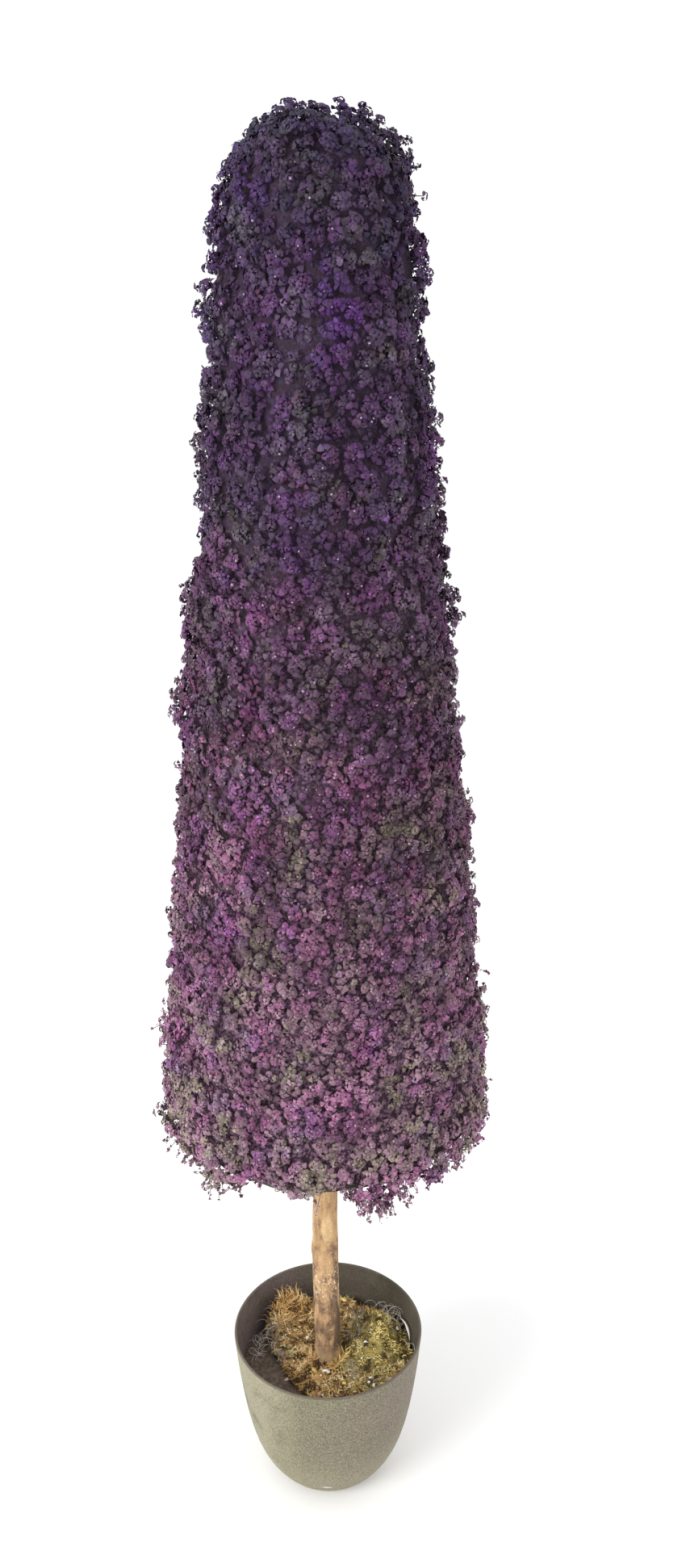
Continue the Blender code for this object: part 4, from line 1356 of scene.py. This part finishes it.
    def sprigs(self, column, rng):
        """Thin sprigs that hang from the lower edge or stand out of the side, and their florets."""
        count = HANGING_SPRIGS + LOOSE_SPRIGS
        hanging = np.arange(count) < HANGING_SPRIGS
        edge = np.interp(FOLIAGE_BOTTOM + HANG_LEVEL, column.heights[1:20], column.lengths[1:20])
        low = edge + rng.uniform(*HANG_BAND, count)
        lengths = np.where(hanging, low, rng.uniform(edge + LOOSE_FROM, column.total, count))
        azimuths = rng.uniform(0, TAU, count)
        first = 0
        for degrees, spread, number in FLAPS:
            azimuths[first : first + number] = np.radians(rng.normal(degrees, spread, number))
            first += number
        start, outward = column.surface(lengths, azimuths, SPRIG_ROOT)
        reach = np.where(hanging, rng.uniform(*HANG_REACH, count), rng.uniform(*SPRIG_REACH, count))
        hanging = hanging[:, None]
        down = np.where(hanging, *SPRIG_DOWN) * np.array((0, 0, -1.0))
        sway = rng.normal(0, SPRIG_LEAN, (count, 3))
        heading = unit(np.where(hanging, *SPRIG_OUT) * outward + down + sway)
        bend = rng.normal(0, SPRIG_BEND, (count, 3))
        paths = bent(start, reach, heading, bend, np.linspace(0, 1, 4))
        along = rng.uniform(SPRIG_BARE, 1.0, (count, SPRIG_FLORETS))
        along[:, 0] = 1.0
        tips = bent(start, reach, heading, bend, along)
        spread = unit(rng.normal(0, 1, (count, SPRIG_FLORETS, 3)) + SPRIG_FLARE * heading[:, None])
        return paths, (tips + spread * SPRIG_FLUFF).reshape(-1, 3), spread.reshape(-1, 3)


# Filler and moss


class TOPIARY_OT_filler(bpy.types.Operator):
    """Gives the filler in the pot its dark, gritty finish"""

    bl_idname = "topiary.filler"
    bl_label = "Filler"

    def execute(self, context):
        nodes = Nodes("filler_grit", roughness=0.95, specular=0.15)
        grit = nodes.noise(260, 5.0, 0.65)
        base = tuple(context.scene.topiary_moss.soil)
        pale = tuple(3.0 * part + 0.01 for part in base)
        nodes.colour(nodes.ramp(grit, (0.35, base), (0.75, pale)))
        nodes.bump(grit, 0.0025)
        paint(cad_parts["filler"], nodes.finish)
        return {"FINISHED"}


def moss_reach(azimuth):
    """How far from the axis the moss reaches."""
    off = angle_between(azimuth, MOSS_HOLLOW_AZIMUTH) / MOSS_HOLLOW_WIDTH
    return MOSS_OUTER - MOSS_HOLLOW_DEPTH * np.exp(-(off**4))


def moss_height(x, y):
    """Height of the moss at places."""
    height = np.full_like(x, MOSS_LEVEL)
    for heap_x, heap_y, spread, rise in MOSS_HEAPS:
        height = height + rise * np.exp(-((np.hypot(x - heap_x, y - heap_y) / spread) ** 2))
    edge = np.hypot(x, y) / moss_reach(np.arctan2(y, x))
    return FILLER_TOP + GAP + height * (1.0 - MOSS_EDGE_DROP * np.clip(edge, 0, 1) ** MOSS_EDGE_POWER)


def near(x, y, centre_x, centre_y, spread):
    """1 at a place on the moss, falling to 0 round it."""
    return math.exp(-(((x - centre_x) ** 2 + (y - centre_y) ** 2) / spread**2))


def moss_finish(green):
    """Dried moss underlay: brown to ochre, or olive on the green side."""
    nodes = Nodes("moss_green_mat" if green else "moss_brown_mat", roughness=0.95, specular=0.1)
    clumps = nodes.noise(120, 5.0, 0.6)
    fine = nodes.noise(600, 3.0, 0.6)
    tone = nodes.ramp(clumps, *zip((0.36, 0.52, 0.68), GREEN_MAT if green else BROWN_MAT))
    nodes.colour(nodes.times(tone, nodes.ramp(fine, (0.35, 0.3), (0.65, 1.0)), 0.5))
    nodes.bump(clumps, 0.004)
    return nodes.finish


def strand_tint(x, y, rng):
    """A strand's tint, in clumps of umber to straw, greener on the mound, and grey and umber on withered moss
    in painted shadow.
    """
    clump = noise.noise(Vector((x, y, 0.3)) * CLUMP_SCALE) + rng.uniform(-0.25, 0.25)
    lush = 0.5 * noise.noise(Vector((x, y, 5.0)) * LUSH_SCALE) + rng.uniform(-0.15, 0.15)
    lush += 0.9 * near(x, y, *MOSS_MOUND) - 0.35
    withered_and_shaded = max(near(x, y, *shade) for shade in MOSS_GREY_AND_SHADOWS) + rng.uniform(-0.3, 0.3)
    # Painted shadow on withered grey moss: strands in these zones turn grey and umber
    if withered_and_shaded > GREY_SHADOW_LEVEL:
        return GREY if clump > -0.1 else UMBER
    if clump < -0.24:
        return UMBER
    if lush > 0.05:
        return LIME if clump > 0.20 else OLIVE
    return STRAW if clump > 0.24 else OCHRE


class TOPIARY_OT_moss(bpy.types.Operator):
    """Lays both mats of moss, their strands and the litter on them"""

    bl_idname = "topiary.moss"
    bl_label = "Moss"

    def execute(self, context):
        settings = context.scene.topiary_moss
        rng = np.random.default_rng(MOSS_SEED)
        finishes = plain_finishes(MOSS_TINTS, 0.9, 0.15)
        for name, *ends in MOSS_SECTORS:
            first, last = (math.radians(end) for end in ends)
            self.mat(context, name, first, last)
            self.strands(name, first, last, settings, finishes, rng)
        self.litter(rng)
        self.hairs(rng)
        self.curl()
        return {"FINISHED"}

    def mat(self, context, node, first, last):
        """The lumpy underlay of one mat."""
        deselect()
        columns, rows = MAT_GRID
        bpy.ops.mesh.primitive_grid_add(x_subdivisions=columns, y_subdivisions=rows, size=1)
        mat = context.active_object
        mat.name = node + "_mat"
        points = points_of(mat)
        azimuth = first + (last - first) * (points[:, 0] + 0.5)
        share = points[:, 1] + 0.5
        radius = MOSS_INNER + (moss_reach(azimuth) - MOSS_INNER) * share
        x, y = radius * np.cos(azimuth), radius * np.sin(azimuth)
        z = moss_height(x, y)
        height, scale = MAT_RELIEF
        z += [height * noise.fractal(Vector((*place, 0)) * scale, 0.9, 2.1, 4) for place in zip(x, y)]
        move_points(mat, np.column_stack([x, y, np.maximum(z, FILLER_TOP + 2 * GAP)]))
        edit_all()
        bpy.ops.mesh.extrude_region_move(TRANSFORM_OT_translate={"value": (0, 0, -MAT_THICKNESS)})
        bpy.ops.object.mode_set(mode="OBJECT")
        points = points_of(mat)
        points[:, 2] = np.maximum(points[:, 2], FILLER_TOP + GAP)
        move_points(mat, points)
        edit_all()
        close_outward()
        smooth(mat, 50)
        paint(mat, moss_finish(node == "moss_green"))
        keep(mat, "moss", node)

    def strands(self, node, first, last, settings, finishes, rng):
        """Small curled strands with uneven edges, in clumps of one tint."""
        count = round(settings.strands * (last - first) / TAU)
        azimuth = rng.uniform(first, last, count)
        inner = MOSS_INNER + STRAND_MARGIN
        radius = np.sqrt(rng.uniform(inner**2, (moss_reach(azimuth) - STRAND_MARGIN) ** 2))
        at_foot = rng.random(count) < FOOT_SHARE
        radius[at_foot] = rng.uniform(*FOOT_RING, at_foot.sum())
        x, y = radius * np.cos(azimuth), radius * np.sin(azimuth)
        start = np.column_stack([x, y, moss_height(x, y) - STRAND_ROOT])
        heading = rng.uniform(0, TAU, count)
        level = np.column_stack([np.cos(heading), np.sin(heading), np.zeros(count)])
        side = np.column_stack([-level[:, 1], level[:, 0], np.zeros(count)])
        heap_x, heap_y = MOSS_HEAPS[0][:2]
        steep = np.exp(-((np.hypot(x - heap_x, y - heap_y) / TUFT_SPREAD) ** 2)) + FOOT_STEEP * at_foot
        climb = rng.uniform(*STRAND_CLIMB, count) + steep
        length = settings.length * rng.uniform(*STRAND_LENGTHS, count) * (1 + TUFT_LENGTH * steep)
        steps = np.linspace(0, 1, 4)
        rise = climb[:, None] * steps - STRAND_FALL * steps**2
        sway, turn = STRAND_WAVE
        wave = sway * np.sin(steps * turn + heading[:, None] * 3)
        paths = start[:, None] + length[:, None, None] * (
            level[:, None] * (steps * STRAND_LEVEL)[:, None]
            + side[:, None] * wave[..., None]
            + np.array((0, 0, 1.0)) * rise[..., None]
        )
        paths[..., :2] *= drawn_in(paths[..., 0], paths[..., 1], STRAND_LIMIT)[..., None]
        up = np.column_stack([rng.normal(0, STRAND_ROLL, (count, 2)), np.ones(count)])
        points, triangles = ribbons(paths, np.array(STRAND_PROFILE) * STRAND_WIDTH, unit(up))
        tints = np.repeat([strand_tint(*place, rng) for place in zip(x, y)], len(triangles) // count)
        strands = joined(node + "_strands", points, triangles, tints, shade=False)
        paint(strands, *finishes)
        keep(strands, "moss", node)

    def litter(self, rng):
        """Pale flakes and bits that lie on the moss."""
        finishes = plain_finishes(FLECK_TINTS, 0.7, 0.3)
        flecks = list(FLECKS)
        inner, share = SCRAP_RING
        for _ in range(SCRAPS):
            azimuth = rng.uniform(0, TAU)
            radius = rng.uniform(inner, share * float(moss_reach(np.array(azimuth))))
            tint = int(rng.choice(SCRAP_TINTS))
            size = rng.uniform(*SCRAP_SIZES)
            flecks.append((radius * math.cos(azimuth), radius * math.sin(azimuth), size, tint))
        x, y, sizes, tints = (np.array(values) for values in zip(*flecks))
        places = np.column_stack([x, y, moss_height(x, y) + FLECK_LIFT])
        facing = unit(np.column_stack([rng.normal(0, FLECK_TILT, (len(flecks), 2)), np.ones(len(flecks))]))
        spins = rng.uniform(0, TAU, len(flecks))
        points, triangles = copies(np.array(FLECK_SHAPE), FLECK_FACES, places, facing, spins, sizes)
        litter = joined("moss_litter", points, triangles, np.repeat(tints, len(FLECK_FACES)), shade=False)
        paint(litter, *finishes)
        keep(litter, "moss")

    def hairs(self, rng):
        """A few grey hairs that arch at the moss's edge."""
        steps = np.linspace(0, 1, 7)
        paths = []
        for degrees, spread, inner, outer, count in HAIRS:
            azimuth = math.radians(degrees) + rng.normal(0, math.radians(spread), count)
            radius = rng.uniform(inner, outer, count)
            foot_x, foot_y = radius * np.cos(azimuth), radius * np.sin(azimuth)
            reach = rng.uniform(*HAIR_REACH, (count, 1))
            turn = azimuth[:, None] + rng.normal(0, HAIR_TURN, (count, 1))
            turn = turn + steps * rng.normal(0, HAIR_CURL, (count, 1))
            x = foot_x[:, None] + reach * steps * np.cos(turn)
            y = foot_y[:, None] + reach * steps * np.sin(turn)
            limit = drawn_in(x, y, HAIR_LIMIT)
            arch = HAIR_ARCH * np.sin(steps * 2.6) * rng.uniform(*HAIR_ARCHES, (count, 1))
            z = moss_height(foot_x, foot_y)[:, None] + HAIR_LIFT + arch
            paths.append(np.stack([x * limit, y * limit, z], axis=2))
        hairs = joined("moss_hairs", *tubes(np.concatenate(paths), HAIR_RADIUS))
        paint(hairs, plain_finish("moss_hair_grey", HAIR_TINT, 0.6, 0.3))
        keep(hairs, "moss")

    def curl(self):
        """One pale curl of dry stem inside the rim."""
        steps = np.linspace(0, 1, len(CURL_RADII))
        bends = np.column_stack([steps**2, steps, np.sin(steps * 1.9)])
        path = np.array(CURL_START) + np.array(CURL_REACH) * bends
        piece = joined("moss_curl", *tubes(path[None], CURL_RADII, 6))
        paint(piece, plain_finish("moss_curl_pale", CURL_TINT, 0.6, 0.3))
        keep(piece, "moss")


# Stage


class TOPIARY_OT_stage(bpy.types.Operator):
    """Sets up the floor, the light and the camera"""

    bl_idname = "topiary.stage"
    bl_label = "Stage"

    def execute(self, context):
        settings = context.scene.topiary_stage
        deselect()
        bpy.ops.mesh.primitive_circle_add(
            vertices=96, radius=FLOOR_RADIUS, fill_type="NGON", location=(0, 0, 0)
        )
        floor = context.active_object
        floor.name = "floor"
        paint(floor, plain_finish("floor_pale", tuple(settings.floor), 0.9, 0.1))

        world = bpy.data.worlds.new("studio")
        world.use_nodes = True
        sky = world.node_tree.nodes["Background"]
        sky.inputs["Color"].default_value = (1.0, 1.0, 1.0, 1.0)
        sky.inputs["Strength"].default_value = settings.sky
        context.scene.world = world
        for name, place, size in LIGHTS:
            self.soft_light(context, name, place, size, getattr(settings, name))

        pitch, yaw, roll = CAMERA_PITCH, CAMERA_YAW, CAMERA_ROLL
        ahead = Vector((math.sin(yaw) * math.cos(pitch), math.cos(yaw) * math.cos(pitch), -math.sin(pitch)))
        right = Vector((math.cos(yaw), -math.sin(yaw), 0))
        above = right.cross(ahead)
        turned = math.cos(roll) * right + math.sin(roll) * above
        upright = math.cos(roll) * above - math.sin(roll) * right
        camera = bpy.data.cameras.new("camera")
        camera.lens = CAMERA_LENS
        camera.sensor_width = SENSOR
        holder = bpy.data.objects.new("camera", camera)
        look = Matrix((turned, upright, -ahead)).transposed().to_4x4()
        holder.matrix_world = Matrix.Translation(CAMERA_PLACE) @ look
        context.scene.collection.objects.link(holder)
        context.scene.camera = holder
        context.scene.view_settings.view_transform = "Standard"
        return {"FINISHED"}

    def soft_light(self, context, name, place, size, power):
        """A large soft light that looks at the middle of the plant."""
        light = bpy.data.lights.new(name, "AREA")
        light.shape = "DISK"
        light.size = size
        light.energy = power
        holder = bpy.data.objects.new(name, light)
        holder.location = place
        aim = Vector(AIM) - Vector(place)
        holder.rotation_euler = aim.to_track_quat("-Z", "Y").to_euler()
        context.scene.collection.objects.link(holder)


class TOPIARY_PT_panel(bpy.types.Panel):
    """Lists the pieces and what a user can change on them"""

    bl_idname = "TOPIARY_PT_panel"
    bl_label = "Topiary tower"
    bl_space_type = "VIEW_3D"
    bl_region_type = "UI"
    bl_category = "Topiary"

    def draw(self, context):
        for group, operators in GROUPS:
            box = self.layout.box()
            settings = getattr(context.scene, group)
            for name in settings.bl_rna.properties.keys():
                if name not in ("rna_type", "name"):
                    box.prop(settings, name)
            for operator in operators:
                box.operator(operator.bl_idname)


GROUPS = (
    ("topiary_pot", (TOPIARY_OT_pot,)),
    ("topiary_pole", (TOPIARY_OT_pole,)),
    ("topiary_foliage", (TOPIARY_OT_cores, TOPIARY_OT_florets)),
    ("topiary_moss", (TOPIARY_OT_filler, TOPIARY_OT_moss)),
    ("topiary_stage", (TOPIARY_OT_stage,)),
)
SETTINGS = (
    ("topiary_pot", PotSettings),
    ("topiary_pole", PoleSettings),
    ("topiary_foliage", FoliageSettings),
    ("topiary_moss", MossSettings),
    ("topiary_stage", StageSettings),
)
OPERATORS = tuple(operator for _, operators in GROUPS for operator in operators)


def register():
    """Registers the settings, the operators and the panel."""
    for name, settings in SETTINGS:
        bpy.utils.register_class(settings)
        setattr(bpy.types.Scene, name, PointerProperty(type=settings))
    for operator in OPERATORS:
        bpy.utils.register_class(operator)
    bpy.utils.register_class(TOPIARY_PT_panel)


def unregister():
    """Takes away what register added."""
    bpy.utils.unregister_class(TOPIARY_PT_panel)
    for operator in reversed(OPERATORS):
        bpy.utils.unregister_class(operator)
    for name, settings in reversed(SETTINGS):
        delattr(bpy.types.Scene, name)
        bpy.utils.unregister_class(settings)


def main():
    """Builds every piece in order."""
    register()
    bpy.ops.topiary.pot()
    bpy.ops.topiary.filler()
    bpy.ops.topiary.moss()
    bpy.ops.topiary.pole()
    bpy.ops.topiary.cores()
    bpy.ops.topiary.florets()
    bpy.ops.topiary.stage()


if __name__ == "__main__":
    main()
